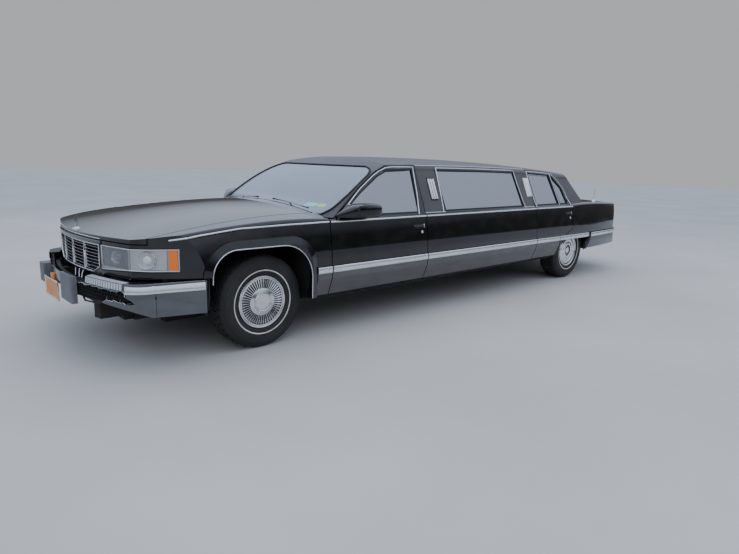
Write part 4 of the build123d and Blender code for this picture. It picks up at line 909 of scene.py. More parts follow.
def nosePath(fromY=0.0, toX=0.0):
    # the nose in plan, from the middle line round to the left side
    corner = nosePlan["corner"]
    points = arcThrough((corner[0], -corner[1]), (nose["front"], 0), corner, 64)
    points = [point for point in points if point.y > fromY + 0.004]
    points.insert(0, Vector((noseX(fromY), fromY)))
    points += arcThrough(corner, nosePlan["bulge"], nosePlan["turn"], 8)[1:]
    points += [Vector(nosePlan["side"]), Vector(nosePlan["arch"])]
    kept = [point for point in points if point.x > toX + 0.004]
    if len(kept) < len(points):
        last, beyond = kept[-1], points[len(kept)]
        kept.append(last.lerp(beyond, (last.x - toX) / (last.x - beyond.x)))
    return kept


def mirroredLine(points):
    return [Vector((point.x, -point.y)) for point in points[:0:-1]] + points


def makeHoodEdge():
    path = [point for point in nosePath() if point.y < 0.46]
    edge = movedOut(mirroredLine(path), 0.001)
    rod("hoodEdgeBright", raised(edge, 0.8455), 0.0042, "chrome", "hood")
    low = movedOut(mirroredLine(path), -0.004)
    rod("hoodEdgeSeal", raised(low, 0.8385), 0.0035, "seal", "car")


lamps = {
    # name, y range, x range, z range, bucket depth, lens, bucket
    "windows": (
        ("inner", (0.466, 0.724), (0.640, 1.100), (0.672, 0.801), 0.034, "smokedClear", "darkReflector"),
        ("outer", (0.738, 1.100), (0.712, 1.100), (0.672, 0.801), 0.036, "clear", "reflector"),
        ("amber", (0.738, 1.100), (0.652, 0.704), (0.666, 0.801), 0.020, "amber", "amberReflector"),
    ),
    "glassThick": 0.003,
    "bowl": ((0.0004, 0.0), (0.020, 0.001), (0.036, 0.006), (0.050, 0.014), (0.060, 0.024), (0.062, 0.027),
             (0.064, 0.024)),
    "bowlPlace": (3.3020, 0.795, 0.736),
    "bowlFacing": (0.66, 0.75, 0.0),
    "innerBowlPlace": (3.4040, 0.560, 0.736),
    "innerBowlFacing": (0.96, 0.28, 0.0),
    "bulb": ((0.0004, 0.030), (0.018, 0.028), (0.030, 0.022), (0.034, 0.013), (0.032, 0.004), (0.030, 0.0)),
}


def lampWindow(window):
    (yLow, yHigh), (xLow, xHigh), (zLow, zHigh) = window[1:4]
    margin = 0.0012

    def isFloor(centre, normal):
        side = 1 if centre.y > 0 else -1
        ahead = centre.x - frontAxle
        inside = (yLow + margin < abs(centre.y) < yHigh and xLow + margin < ahead < xHigh
                  and zLow + margin < centre.z < zHigh - margin)
        return inside and normal.x + side * normal.y > 0.3
    return isFloor


def makeHeadlamps():
    housing = nodeCopy("headlamps", "headlampHousing")
    housing.data.materials.clear()
    housing.data.materials.append(finishes["lampEdge"])
    for number, window in enumerate(lamps["windows"], 1):
        name, depth, lensFinish, bucketFinish = window[0], *window[4:]
        housing.data.materials.append(finishes[bucketFinish])
        edit(housing)
        chooseFaces(housing, lampWindow(window))
        bpy.ops.mesh.duplicate()
        bpy.ops.mesh.separate(type="SELECTED")
        bpy.ops.object.mode_set(mode="OBJECT")
        glass = next(piece for piece in bpy.context.selected_objects if piece != housing)
        edit(housing)
        chooseFaces(housing, lampWindow(window))
        bpy.ops.mesh.extrude_region_shrink_fatten(TRANSFORM_OT_shrink_fatten={"value": -depth})
        bpy.ops.mesh.select_more()
        housing.active_material_index = number
        bpy.ops.object.material_slot_assign()
        bpy.ops.object.mode_set(mode="OBJECT")
        only(glass)
        useModifier(glass, "SOLIDIFY", thickness=lamps["glassThick"], offset=1)
        settle(glass, name + "LampLens", lensFinish, "car", smooth=30)
        glass.data.materials.clear()
        glass.data.materials.append(finishes[lensFinish])
    settle(housing, "headlampHousing", None, "car", smooth=30)
    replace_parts(housing, "headlamps")
    for label, place, facing, size in (("outer", lamps["bowlPlace"], lamps["bowlFacing"], 0.92),
                                       ("inner", lamps["innerBowlPlace"], lamps["innerBowlFacing"], 0.80)):
        bowl = turned("lampBowl", lamps["bowl"], 48)
        bulb = turned("lampBulb", lamps["bulb"], 32)
        matrix = Matrix.Translation(place) @ turnTowards(facing) @ Matrix.Scale(size, 4)
        for part, finish in ((bowl, "reflector"), (bulb, "bulbGlass")):
            part.data.transform(matrix)
            settle(part, part.name, finish, smooth=40)
            partName = label + part.name[0].upper() + part.name[1:] + "Left"
            part.name = partName
            part.data.name = partName
            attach(part, "car")
            otherSide(part)
    # seal round each lamp
    for side, sign in sides:
        path = movedOut(nosePath(0.452, frontAxle + 0.640), 0.0012)
        ring = raised(path, 0.8125)
        ring += raised(path[::-1], lambda point: 0.6355 + 0.0245 * min(1, (point.y - 0.452) / 0.292)
                       if point.y < 0.744 else 0.660 - 0.0075 * (point.y - 0.744) / 0.16)
        ring = [(x, y * sign, z) for x, y, z in ring]
        rod("lampSeal" + side.title(), ring, 0.0030, "seal", "car", closed=True, sides=2)
        rim = movedOut(nosePath(0.459, frontAxle + 0.6475), 0.0018)
        ring = raised(rim, 0.8050)
        ring += raised(rim[::-1], lambda point: 0.6435 + 0.0235 * min(1, (point.y - 0.452) / 0.292)
                       if point.y < 0.744 else 0.6670 - 0.0065 * (point.y - 0.744) / 0.16)
        ring = [(x, y * sign, z) for x, y, z in ring]
        rod("lampRim" + side.title(), ring, 0.0042, "chrome", "car", closed=True, sides=3)
    print("lamps made")


# Front bumper: torn face, honeycomb, ribbed pad, plate

bumper = {
    "front": 3.6085,
    "arcRadius": 2.530,
    "arcEnd": (3.4685, 0.830),
    "bulge": (3.4125, 0.880),
    "side": (3.3085, 0.912),
    "rear": (frontAxle + 0.5, 0.990),
    "pad": {"from": 0.432, "to": 0.815, "low": 0.556, "high": 0.603, "proud": 0.013, "back": 0.045},
    "padRibs": 15,
    "cell": 0.0165,
    "cellRows": 5,
    "cellColumns": 26,
    "cellFrom": (0.235, 0.452),
    "cellDepth": 0.030,
    "edge": (
        (0.215, 0.536), (0.300, 0.531), (0.330, 0.541), (0.420, 0.536), (0.470, 0.545), (0.590, 0.540),
        (0.650, 0.546), (0.735, 0.540), (0.790, 0.551), (0.832, 0.545), (0.822, 0.515), (0.858, 0.489),
        (0.868, 0.470), (0.838, 0.466), (0.815, 0.476), (0.770, 0.470), (0.735, 0.480), (0.700, 0.468),
        (0.640, 0.472), (0.600, 0.440),
    ),
    "jag": (0.004, -0.003, 0.005, -0.001, 0.003, -0.004, 0.002),
    # y, z, length, width, lean outward, turn, all in metres and degrees
    "shards": (
        (0.835, 0.522, 0.034, 0.016, 52, 168), (0.852, 0.478, 0.030, 0.018, 40, 140),
        (0.800, 0.548, 0.024, 0.014, 60, 205), (0.735, 0.540, 0.020, 0.010, 65, 180),
        (0.650, 0.546, 0.018, 0.012, 62, 190), (0.560, 0.541, 0.016, 0.010, 58, 176),
        (0.470, 0.545, 0.020, 0.012, 60, 170), (0.330, 0.541, 0.026, 0.014, 55, 186),
        (0.250, 0.534, 0.022, 0.014, 64, 182), (0.770, 0.470, 0.024, 0.014, 50, 10),
        (0.700, 0.468, 0.020, 0.010, 58, 352), (0.640, 0.470, 0.026, 0.012, 48, 20),
    ),
    "hangingBars": (
        ((3.560, 0.285, 0.424), (3.566, 0.340, 0.412), (3.552, 0.480, 0.424), (3.512, 0.640, 0.452),
         (3.480, 0.800, 0.478)),
        ((3.560, 0.270, 0.432), (3.556, 0.420, 0.440), (3.530, 0.560, 0.446), (3.500, 0.690, 0.462)),
    ),
    "brokenSlats": (
        ((3.528, 0.040, 0.590), (3.550, 0.110, 0.578), (3.570, 0.175, 0.562)),
        ((3.528, 0.130, 0.597), (3.552, 0.195, 0.580), (3.571, 0.262, 0.562)),
        ((3.532, 0.225, 0.600), (3.554, 0.270, 0.585), (3.572, 0.318, 0.568)),
    ),
    "boltHole": (0.930, 0.504),
    "holeSteps": ((0.0004, 0.0005), (0.0065, 0.0008), (0.0085, 0.0016), (0.0095, 0.0006), (0.0095, -0.004)),
    # height and how far it stands out
    "bandRows": ((0.5360, 0.0010), (0.5385, 0.0160), (0.5450, 0.0175), (0.5600, 0.0145), (0.5800, 0.0088),
                 (0.6005, 0.0015)),
    "plateBoltY": (-0.380, -0.200),
    "plateBoltZ": (0.333, 0.441),
    "boltSteps": ((0.0004, 0.004), (0.004, 0.0036), (0.0055, 0.0015), (0.0055, -0.002)),
}
bumperCentre = (bumper["front"] - bumper["arcRadius"], 0)


def bumperX(y, out=0.0):
    return bumperCentre[0] + math.sqrt((bumper["arcRadius"] + out) ** 2 - y * y)


def onArc(y):
    # the turn of the bumper's face at y
    return Matrix.Rotation(math.asin(y / bumper["arcRadius"]), 4, "Z")


def onBumper(y, z, out=0.0):
    # on the face arc, and round the corner past its end
    if y < bumper["arcEnd"][1]:
        return Vector((bumperX(y, out), y, z))
    corner = surfaceSpot("front_bumper", (4.2, y - 0.02, 0.39), (-1, 0, 0))
    return corner + Vector((out, out * 0.6, z - 0.39))


def makeTornEdges():
    points = []
    for index, (y, z) in enumerate(bumper["edge"][:-1]):
        nextY, nextZ = bumper["edge"][index + 1]
        points.append(onBumper(y, z, 0.001))
        for part, share in enumerate((0.27, 0.55, 0.8)):
            jag = bumper["jag"][(index * 3 + part) % len(bumper["jag"])]
            points.append(onBumper(y + (nextY - y) * share, z + (nextZ - z) * share + jag,
                                   0.002 + abs(jag) / 2))
    edges = [rod("tornRim", points, 0.0022, "tornEdge", sides=2)]
    for y, z, length, width, lean, turn in bumper["shards"]:
        clearAll()
        bpy.ops.mesh.primitive_grid_add(x_subdivisions=4, y_subdivisions=2, size=1)
        shard = bpy.context.object
        edit(shard)
        bpy.ops.transform.translate(value=(0.5, 0, 0))
        bpy.ops.transform.resize(value=(length, width, 1), center_override=(0, 0, 0))
        for reach, narrow, lift in ((0.30, 0.80, 0.001), (0.55, 0.62, 0.003), (0.80, 0.35, 0.006)):
            chooseFaces(shard, lambda centre, normal, reach=reach: centre.x > length * reach)
            bpy.ops.transform.resize(value=(1, narrow, 1), center_override=(0, 0, 0))
            bpy.ops.transform.translate(value=(0, 0, lift))
        bpy.ops.object.mode_set(mode="OBJECT")
        useModifier(shard, "SOLIDIFY", thickness=0.0014, offset=0)
        tilt = turnBy(turn, "X") @ turnBy(-lean, "Y")
        # the shard's length starts up the face and leans out of it
        stand = Matrix(((0, 0, 1, 0), (0, 1, 0, 0), (1, 0, 0, 0), (0, 0, 0, 1)))
        shard.data.transform(Matrix.Translation(onBumper(y, z, 0.001)) @ tilt @ stand)
        shard.data.flip_normals()
        settle(shard, "shard", "tornEdge", smooth=30)
        edges.append(shard)
    torn = joined(edges, "bumperTornEdges")
    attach(torn, "car")


def makeAbsorber():
    absorber = nodeCopy("bumper_absorber", "absorberBody")
    edit(absorber)
    chooseFaces(absorber, lambda centre, normal: normal.x > 0.4)
    bpy.ops.transform.translate(value=(-0.034, 0, 0))
    bpy.ops.object.mode_set(mode="OBJECT")
    settle(absorber, "absorberBody", "foam", smooth=30)
    absorber.data.materials.clear()
    absorber.data.materials.append(finishes["foam"])
    radius, depth = bumper["cell"], bumper["cellDepth"]
    cell = turned("honeycombCell", ((radius * 0.86, 0.0), (radius, 0.0), (radius, depth),
                                    (radius * 0.86, depth),
                                    (radius * 0.86, 0.0)), 6)
    fromY, fromZ = bumper["cellFrom"]
    cells = []
    for row in range(bumper["cellRows"]):
        for column in range(bumper["cellColumns"]):
            y = fromY + (column + (row % 2) / 2) * radius * 1.76
            z = fromZ + row * radius * 1.53
            if z > 0.536 or (z < 0.462 and y > 0.66) or y > 0.83:
                continue
            turn = onArc(y) @ turnBy(90, "Y")
            place = Matrix.Translation((bumperX(y) - 0.041, y, z)) @ turn
            cells.append(placedCopy(cell, "cell", place, "car"))
    discard(cell)
    comb = joined(cells, "absorberHoneycomb")
    settle(comb, "absorberHoneycomb", "foam", smooth=20)
    whole = joined([absorber, comb], "bumperAbsorber")
    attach(whole, "car")
    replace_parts(whole, "bumper_absorber")


def makeBumperTrim():
    pad = bumper["pad"]
    radius = bumper["arcRadius"]
    start, stop = (math.degrees(math.asin(pad[end] / radius)) for end in ("to", "from"))
    section = ((radius - pad["back"], pad["high"] - 0.004), (radius - pad["back"], pad["high"]),
               (radius + 0.002, pad["high"]), (radius + pad["proud"] - 0.002, pad["high"] - 0.012),
               (radius + pad["proud"], pad["low"] + 0.010), (radius + 0.006, pad["low"]),
               (radius, pad["low"]))
    body = spun("bumperPad", section, bumperCentre, start, stop, 30)
    settle(body, "bumperPad", "padGround", rounding=0.002, smooth=25)
    rib = boxBetween("padRib", (-0.0015, -0.0085, -0.0205), (0.0030, 0.0085, 0.0205))
    settle(rib, "padRib", "paleRib", rounding=0.0012, segments=1)
    ribs = []
    for index in range(bumper["padRibs"]):
        y = pad["from"] + 0.010 + (pad["to"] - pad["from"] - 0.020) * index / (bumper["padRibs"] - 1)
        turn = onArc(y)
        top = Matrix.Translation((bumperX(y, -0.015), y, pad["high"])) @ turn @ turnBy(-90, "Y")
        face = Matrix.Translation((bumperX(y, pad["proud"] - 0.001), y, 0.5785)) @ turn @ turnBy(-6, "Y")
        ribs += [placedCopy(rib, "rib", top, "car"), placedCopy(rib, "rib", face, "car")]
    discard(rib)
    padPiece = joined([body, *ribs], "bumperRibbedPad")
    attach(padPiece, "car")

    path = arcThrough((bumperX(0.5), 0.5), (bumperX(0.68), 0.68), bumper["arcEnd"], 12)
    path = [point for point in path if point.y > pad["to"] - 0.012]
    path += arcThrough(bumper["arcEnd"], bumper["bulge"], bumper["side"], 8)[1:]
    path += [Vector(bumper["side"]).lerp(Vector(bumper["rear"]), share)
             for share in (0.25, 0.5, 0.75, 0.97)]
    rows = [[(*spot, height) for spot in movedOut(path, out)] for height, out in bumper["bandRows"]]
    band = ribbon("bumperBandLeft", rows)
    facing(band, (1, 1, 0.3))
    useModifier(band, "SOLIDIFY", thickness=0.003, offset=-1)
    settle(band, "bumperBandLeft", "stripBright", "car", smooth=40)
    otherSide(band)

    bars = [rod("hangingBar", points, 0.0065, "foam", sides=2) for points in bumper["hangingBars"]]
    bars += [rod("brokenSlat", points, 0.0045, "tornEdge", sides=2) for points in bumper["brokenSlats"]]
    hanging = joined(bars, "bumperBrokenBars")
    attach(hanging, "car")

    y, z = bumper["boltHole"]
    spot = surfaceSpot("front_bumper", (3.9, y + 0.5, z), (-0.75, -0.66, 0))
    place = Matrix.Translation(spot) @ turnTowards((0.5, 0.87, 0))
    turnedPart("bumperBoltHole", bumper["holeSteps"], 24, place, "seal", "car")

    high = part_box("front_plate")[1]
    frame = boxBetween("plateFrame", (high.x - 0.002, -0.462, 0.310), (high.x + 0.005, -0.118, 0.464))
    sunkFace(frame, "X", 0.013, (-0.004, 0, 0))
    settle(frame, "plateFrame", "chrome", rounding=0.0015, smooth=30)
    frame.data.materials.append(finishes["plate"])
    for face in frame.data.polygons:
        if face.normal.x > 0.9 and abs(face.center.y + 0.29) < 0.14 and abs(face.center.z - 0.387) < 0.05:
            face.material_index = 1
    bolts = []
    for boltY in bumper["plateBoltY"]:
        for boltZ in bumper["plateBoltZ"]:
            place = Matrix.Translation((high.x + 0.001, boltY, boltZ)) @ turnBy(90, "Y")
            bolts.append(turnedPart("plateBolt", bumper["boltSteps"], 6, place, "chrome", smooth=25))
    framed = joined([frame, *bolts], "plateFrame")
    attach(framed, "car")
    print("bumper dressed")


# Side windows: bright lines, rubber, drip moulding

sideTrim = {
    "lineRadius": 0.0062,
    "sealRadius": 0.0075,
    "lineOut": 0.001,
    # outlines in x from the named station and z: the bright line just outside each glass
    "frontDoor": ((-0.683, 0.946), (-0.960, 1.150), (-1.020, 1.190), (-1.180, 1.283), (-1.260, 1.322),
                  (-1.352, 1.3535), (-1.440, 1.363), (-1.600, 1.366), (-1.713, 1.3665), (-1.684, 1.120),
                  (-1.650, 0.946)),
    "frontSeal": ((-0.722, 0.966), (-1.006, 1.152), (-1.236, 1.281), (-1.371, 1.331), (-1.692, 1.342),
                  (-1.660, 0.966)),
    "longWindow": ((-2.004, 0.948), (-2.020, 1.120), (-2.030, 1.290), (-2.034, 1.362), (-2.500, 1.362),
                   (-3.000, 1.357), (-3.372, 1.350), (-3.390, 1.200), (-3.432, 0.948)),
    "longSeal": ((-2.040, 0.968), (-2.024, 1.342), (-2.700, 1.340), (-3.374, 1.330), (-3.411, 0.968)),
    "rearDoor": ((-3.670, 0.946), (-3.646, 1.200), (-3.645, 1.344), (-3.800, 1.340), (-4.000, 1.333),
                 (-4.150, 1.325), (-4.206, 1.312), (-4.262, 1.280), (-4.330, 1.230), (-4.395, 1.168),
                 (-4.425, 1.110), (-4.450, 1.030), (-4.462, 0.946)),
    "rearSeal": ((-3.688, 0.968), (-3.664, 1.328), (-4.142, 1.306), (-4.208, 0.968)),
    "quarterSeal": ((-4.244, 0.968), (-4.180, 1.294), (-4.216, 1.282), (-4.372, 1.152), (-4.430, 0.968)),
    "divider": ((-4.225, 0.955), (-4.162, 1.318)),
    "drip": ((-1.740, 1.381), (-2.000, 1.383), (-2.600, 1.383), (-3.200, 1.376), (-3.646, 1.367)),
    "panelFoot": ((-1.738, 0.955), (-2.028, 0.955)),
    "rearPanelFoot": ((-3.408, 0.955), (-3.640, 0.955)),
}


def onCabin(x, z, out=0.0):
    # the tumblehome side, or where there is no panel the place that it would have
    best = None
    for name in ("door_front_left", "door_rear_left", "roof_shell", "centre_panels", "rear_quarter_left"):
        place = meets(name, (x, 1.3, z), (0, -1, 0))
        if place is not None and place.y > 0.7 and (best is None or place.y > best):
            best = place.y
    lean = z + (x - 0.3) ** 2 / 72
    plain = 0.930 - 0.4134 * (lean - 0.950)
    if best is None or abs(best - plain) > 0.05:
        best = plain
    return (x, best + out, z)


def cabinLine(points, out=0.0, closed=False, gap=0.06):
    places = []
    ends = points + (points[0],) if closed else points
    for (x, z), (nextX, nextZ) in zip(ends, ends[1:]):
        count = max(1, round(math.hypot(nextX - x, nextZ - z) / gap))
        for step in range(count):
            share = step / count
            places.append(onCabin(frontAxle + x + (nextX - x) * share, z + (nextZ - z) * share, out))
    if not closed:
        places.append(onCabin(frontAxle + ends[-1][0], ends[-1][1], out))
    return places


def cabinRod(name, outline, finish, body, out=0.0, closed=False, radius=None):
    piece = rod(name + "Left", cabinLine(sideTrim[outline], out, closed), radius or sideTrim["lineRadius"],
                finish, body, closed=closed, sides=2)
    otherSide(piece)
    return piece


def makeWindowTrim():
    front, rear = "door_front_left_body", "door_rear_left_body"
    out = sideTrim["lineOut"]
    cabinRod("frontWindowBright", "frontDoor", "chrome", front, out)
    cabinRod("frontWindowRubber", "frontSeal", "seal", front, -0.004, True, sideTrim["sealRadius"])
    cabinRod("longWindowBright", "longWindow", "chrome", "car", out)
    cabinRod("longWindowRubber", "longSeal", "seal", "car", -0.004, True, sideTrim["sealRadius"])
    cabinRod("rearWindowBright", "rearDoor", "chrome", rear, out)
    cabinRod("rearWindowRubber", "rearSeal", "seal", rear, -0.004, True, sideTrim["sealRadius"])
    cabinRod("quarterRubber", "quarterSeal", "seal", rear, -0.004, True, sideTrim["sealRadius"])
    cabinRod("quarterDivider", "divider", "chrome", rear, out)
    cabinRod("dripLine", "drip", "chrome", "car", 0.002, radius=0.0045)
    cabinRod("panelFoot", "panelFoot", "chrome", "car", 0.001, radius=0.005)
    cabinRod("rearPanelFoot", "rearPanelFoot", "chrome", "car", 0.001, radius=0.005)
    print("window trim made")


# Windscreen wrapped on to the pillars, and the rubber of the rear one

windscreen = {
    # height and half width of the glass, wrapped round on to the pillars
    "edge": ((0.972, 0.786), (0.998, 0.812), (1.019, 0.827), (1.058, 0.831), (1.129, 0.830), (1.169, 0.822),
             (1.209, 0.811), (1.250, 0.795), (1.283, 0.777), (1.310, 0.755), (1.332, 0.722), (1.349, 0.672),
             (1.358, 0.620)),
    "across": 60,
    "rise": 22,
    "out": 0.0022,
    "fillRounds": 40,
}


def screenPlace(y, z, out):
    # the front of whatever the line from ahead meets first
    best, turn = None, None
    for name in ("windshield", "roof_shell", "cowl_panel"):
        found, place, normal, _ = nodes[name].ray_cast(Vector((3.0, y, z)), Vector((-1, 0, 0)))
        if found and (best is None or place.x > best.x):
            best, turn = place, normal
    return best + turn * out


def screenHalf(z):
    table = windscreen["edge"]
    for (low, narrow), (high, wide) in zip(table, table[1:]):
        if z <= high:
            return narrow + (wide - narrow) * (z - low) / (high - low)
    return table[-1][1]


def makeWindscreen():
    low, high = windscreen["edge"][0][0], windscreen["edge"][-1][0]
    across, rise = windscreen["across"], windscreen["rise"]
    rows = []
    for step in range(rise + 1):
        z = low + (high - low) * step / rise
        half = screenHalf(z)
        rows.append([screenPlace(half * (2 * number / across - 1), z, windscreen["out"])
                     for number in range(across + 1)])
    # the step between the pillar and the inset glass is filled
    for row in rows:
        for _ in range(windscreen["fillRounds"]):
            for number in range(1, across):
                row[number].x = max(row[number].x, (row[number - 1].x + row[number + 1].x) / 2)
    glass = facing(ribbon("windscreenGlass", rows), (1, 0, 1))
    useModifier(glass, "SMOOTH", iterations=6)
    useModifier(glass, "SOLIDIFY", thickness=0.004, offset=-1)
    settle(glass, "windscreenGlass", "screenGlass", "car", smooth=60)
    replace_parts(glass, "windshield")
    outline = rows[0] + [row[-1] for row in rows[1:-1]]
    outline += rows[-1][::-1] + [row[0] for row in rows[-2:0:-1]]
    rod("frontScreenRubber", [point + Vector((0.002, 0, 0.001)) for point in outline], 0.0075, "seal",
        "car",
        closed=True, sides=2)


rearScreen = {
    # half widths and heights at the foot and the top
    "y": (0.640, 0.560),
    "z": (0.985, 1.330),
    "behind": -3.6,
    "inset": 0.006,
    "across": 16,
    "up": 8,
}


def makeRearScreenTrim():
    across, up, inset = rearScreen["across"], rearScreen["up"], rearScreen["inset"]
    (lowY, highY), (lowZ, highZ) = rearScreen["y"], rearScreen["z"]
    lowY, highY, lowZ, highZ = lowY - inset, highY - inset, lowZ + inset, highZ - inset
    outline = [(lowY - 2 * lowY * step / across, lowZ) for step in range(across)]
    outline += [(-lowY - (highY - lowY) * step / up, lowZ + (highZ - lowZ) * step / up)
                for step in range(up)]
    outline += [(-highY + 2 * highY * step / across, highZ) for step in range(across)]
    outline += [(highY + (lowY - highY) * step / up, highZ + (lowZ - highZ) * step / up)
                for step in range(up)]
    places = [meets("fixed_windows", (rearScreen["behind"], y, z), (1, 0, 0)) for y, z in outline]
    points = [place - Vector((0.003, 0, 0)) for place in places if place is not None]
    rod("rearScreenRubber", points, 0.0085, "seal", "car", closed=True, sides=2)


# Door handles and locks

handle = {
    # x, z, door body
    "places": ((0.868, 0.843, "door_front"), (-1.885, 0.850, "door_rear")),
    "recess": (0.152, 0.044),
    "flap": (0.142, 0.028),
    "lockDrop": 0.056,
    "lockBack": 0.040,
    "lock": ((0.0004, 0.005), (0.0105, 0.0046), (0.0125, 0.003), (0.0135, 0.0), (0.0135, -0.004)),
}


def makeHandles():
    long, tall = handle["recess"]
    for x, z, door in handle["places"]:
        node = door + "_left"
        face = surfaceSpot(node, (x, 1.4, z), (0, -1, 0))
        above = surfaceSpot(node, (x, 1.4, z + 0.05), (0, -1, 0))
        lean = math.atan2(face.y - above.y, 0.05)
        settleAt = Matrix.Translation(face) @ Matrix.Rotation(lean, 4, "X")
        plate = boxBetween("handlePlate", (-long / 2, -0.004, -tall / 2), (long / 2, 0.0022, tall / 2))
        sunkFace(plate, "Y", 0.004, (0, -0.004, 0))
        settle(plate, "handlePlate", "plastic", rounding=0.002)
        wide, high = handle["flap"]
        flap = boxBetween("handleFlap", (-wide / 2, -0.002, -high / 2), (wide / 2, 0.009, high / 2))
        edit(flap)
        chooseFaces(flap, lambda centre, normal: normal.z > 0.9)
        bpy.ops.transform.translate(value=(0, -0.005, 0))
        chooseFaces(flap, lambda centre, normal: normal.y > 0.5)
        bpy.ops.mesh.inset(thickness=0.003)
        bpy.ops.transform.translate(value=(0, 0.0015, 0))
        bpy.ops.object.mode_set(mode="OBJECT")
        settle(flap, "handleFlap", "plastic", rounding=0.0025)
        edge = boxBetween("handleEdge", (-wide / 2 - 0.001, -0.001, -high / 2 - 0.002),
                          (-wide / 2 + 0.012, 0.0105, high / 2 + 0.002))
        settle(edge, "handleEdge", "chrome", rounding=0.003)
        place = Matrix.Translation((-handle["lockBack"], 0, -handle["lockDrop"])) @ turnBy(-90, "X")
        lock = turnedPart("doorLock", handle["lock"], 24, place, "chrome")
        name = "doorHandleFrontLeft" if door == "door_front" else "doorHandleRearLeft"
        whole = joined([plate, flap, edge, lock], name)
        whole.data.transform(settleAt)
        whole.data.name = name
        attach(whole, node + "_body")
        otherSide(whole)
    print("handles made")


# Side strips and belt line, rounded so that they catch the sky

strips = {
    # name, end and start along x, node, body
    "spans": (
        ("Fender", 2.048, 1.908, "side_trim", "car"),
        ("FrontDoor", 1.896, 0.761, "door_front_trim_left", "door_front_left_body"),
        ("Centre", 0.748, -1.142, "side_trim", "car"),
        ("RearDoor", -1.155, -1.660, "door_rear_trim_left", "door_rear_left_body"),
        ("Quarter", -1.672, -2.418, "side_trim", "car"),
        ("Tail", -2.452, -3.480, "rear_bumper", "car"),
    ),
    "middle": 0.5555,
    "half": 0.0265,
    "proud": 0.0075,
    "fallback": 0.990,
    "beltMiddle": 0.930,
    "beltHalf": 0.0075,
    "beltSpans": (
        ("FrontDoor", 1.896, 0.761, "door_front_left_body"),
        ("Centre", 0.748, -1.142, "car"),
        ("RearDoor", -1.155, -1.984, "door_rear_left_body"),
    ),
    "crease": ((1.915, 0.9315), (2.300, 0.9295), (2.7135, 0.9225), (2.850, 0.909), (2.9935, 0.8945),
               (3.100, 0.880), (3.196, 0.8660)),
}


def makeStrips():
    for name, start, stop, node, body in strips["spans"]:
        points = []
        count = max(2, round((start - stop) / 0.12))
        for step in range(count + 1):
            x = start + (stop - start) * step / count
            place = meets(node, (x, 1.3, strips["middle"]), (0, -1, 0))
            points.append((x, place.y if place is not None else strips["fallback"], strips["middle"]))
        strip = rod("strip" + name + "Left", points, strips["half"], "stripBright", body, sides=7)
        flat = strips["proud"] / strips["half"]
        for vertex in strip.data.vertices:
            surface = min(points, key=lambda point: abs(point[0] - vertex.co.x))[1]
            vertex.co.y = surface - 0.0008 + (vertex.co.y - surface) * flat
        otherSide(strip)
    for name, start, stop, body in strips["beltSpans"]:
        belt = rod("belt" + name + "Left", [(start, 0.9455, strips["beltMiddle"]),
                                            (stop, 0.9455, strips["beltMiddle"])],
                   strips["beltHalf"], "stripBright", body, sides=3)
        otherSide(belt)
    points = [surfaceSpot("side_trim", (x, 1.3, z), (0, -1, 0)) for x, z in strips["crease"]]
    otherSide(rod("creaseLineLeft", points, 0.0062, "stripBright", "car", sides=3))
    print("strips made")


# Opera lamps: three bars in the front ones, plain glass in the rear ones

opera = {
    "front": frontAxle - 1.917,
    "rear": rearAxle + 1.026,
    "low": 1.064,
    "high": 1.269,
    "width": 0.096,
    "bars": (-0.0325, 0.0, 0.0325),
    "barWidth": 0.0215,
}


def leaningBox(name, x, z, half, tall, outLow, outHigh):
    # a box on the tumblehome side, its height along the lean
    low, high = Vector(onCabin(x, z - tall / 2)), Vector(onCabin(x, z + tall / 2))
    lean = math.atan2(low.y - high.y, high.z - low.z)
    long = (high - low).length
    piece = boxBetween(name, (-half, outLow, -long / 2), (half, outHigh, long / 2))
    return piece, Matrix.Translation((low + high) / 2) @ Matrix.Rotation(lean, 4, "X")


def makeOperaLamps():
    z, tall = (opera["low"] + opera["high"]) / 2, opera["high"] - opera["low"]
    made = []
    for label, finish in (("front", "seal"), ("rear", "white")):
        x = opera[label]
        base, place = leaningBox("operaBase", x, z, opera["width"] / 2, tall, -0.002, 0.006)
        sunkFace(base, "Y", 0.004, (0, 0.004 if label == "rear" else -0.002, 0))
        pieces = [settle(base, "operaBase", finish, rounding=0.0025)]
        if label == "front":
            for across in opera["bars"]:
                half = opera["barWidth"] / 2
                bar = boxBetween("operaBar", (across - half, 0.001, -tall / 2 + 0.003),
                                 (across + half, 0.0105, tall / 2 - 0.003))
                sunkFace(bar, "Y", 0.005, (0, 0.0025, 0))
                pieces.append(settle(bar, "operaBar", "white", rounding=0.002))
        lamp = joined(pieces, label + "OperaLampLeft")
        lamp.data.transform(place)
        lamp.data.name = lamp.name
        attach(lamp, "car")
        made.append(lamp)
        otherSide(lamp)
    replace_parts(made[0], "opera_lamps")
    print("opera lamps made")


# Arch lips, mirror glass, wiper arms, antenna foot, hood ornament

archLip = {"ahead": 0.455, "behind": 0.385, "top": 0.785, "corner": 0.190, "round": 0.270, "y": 0.9965,
           "radius": 0.0042}


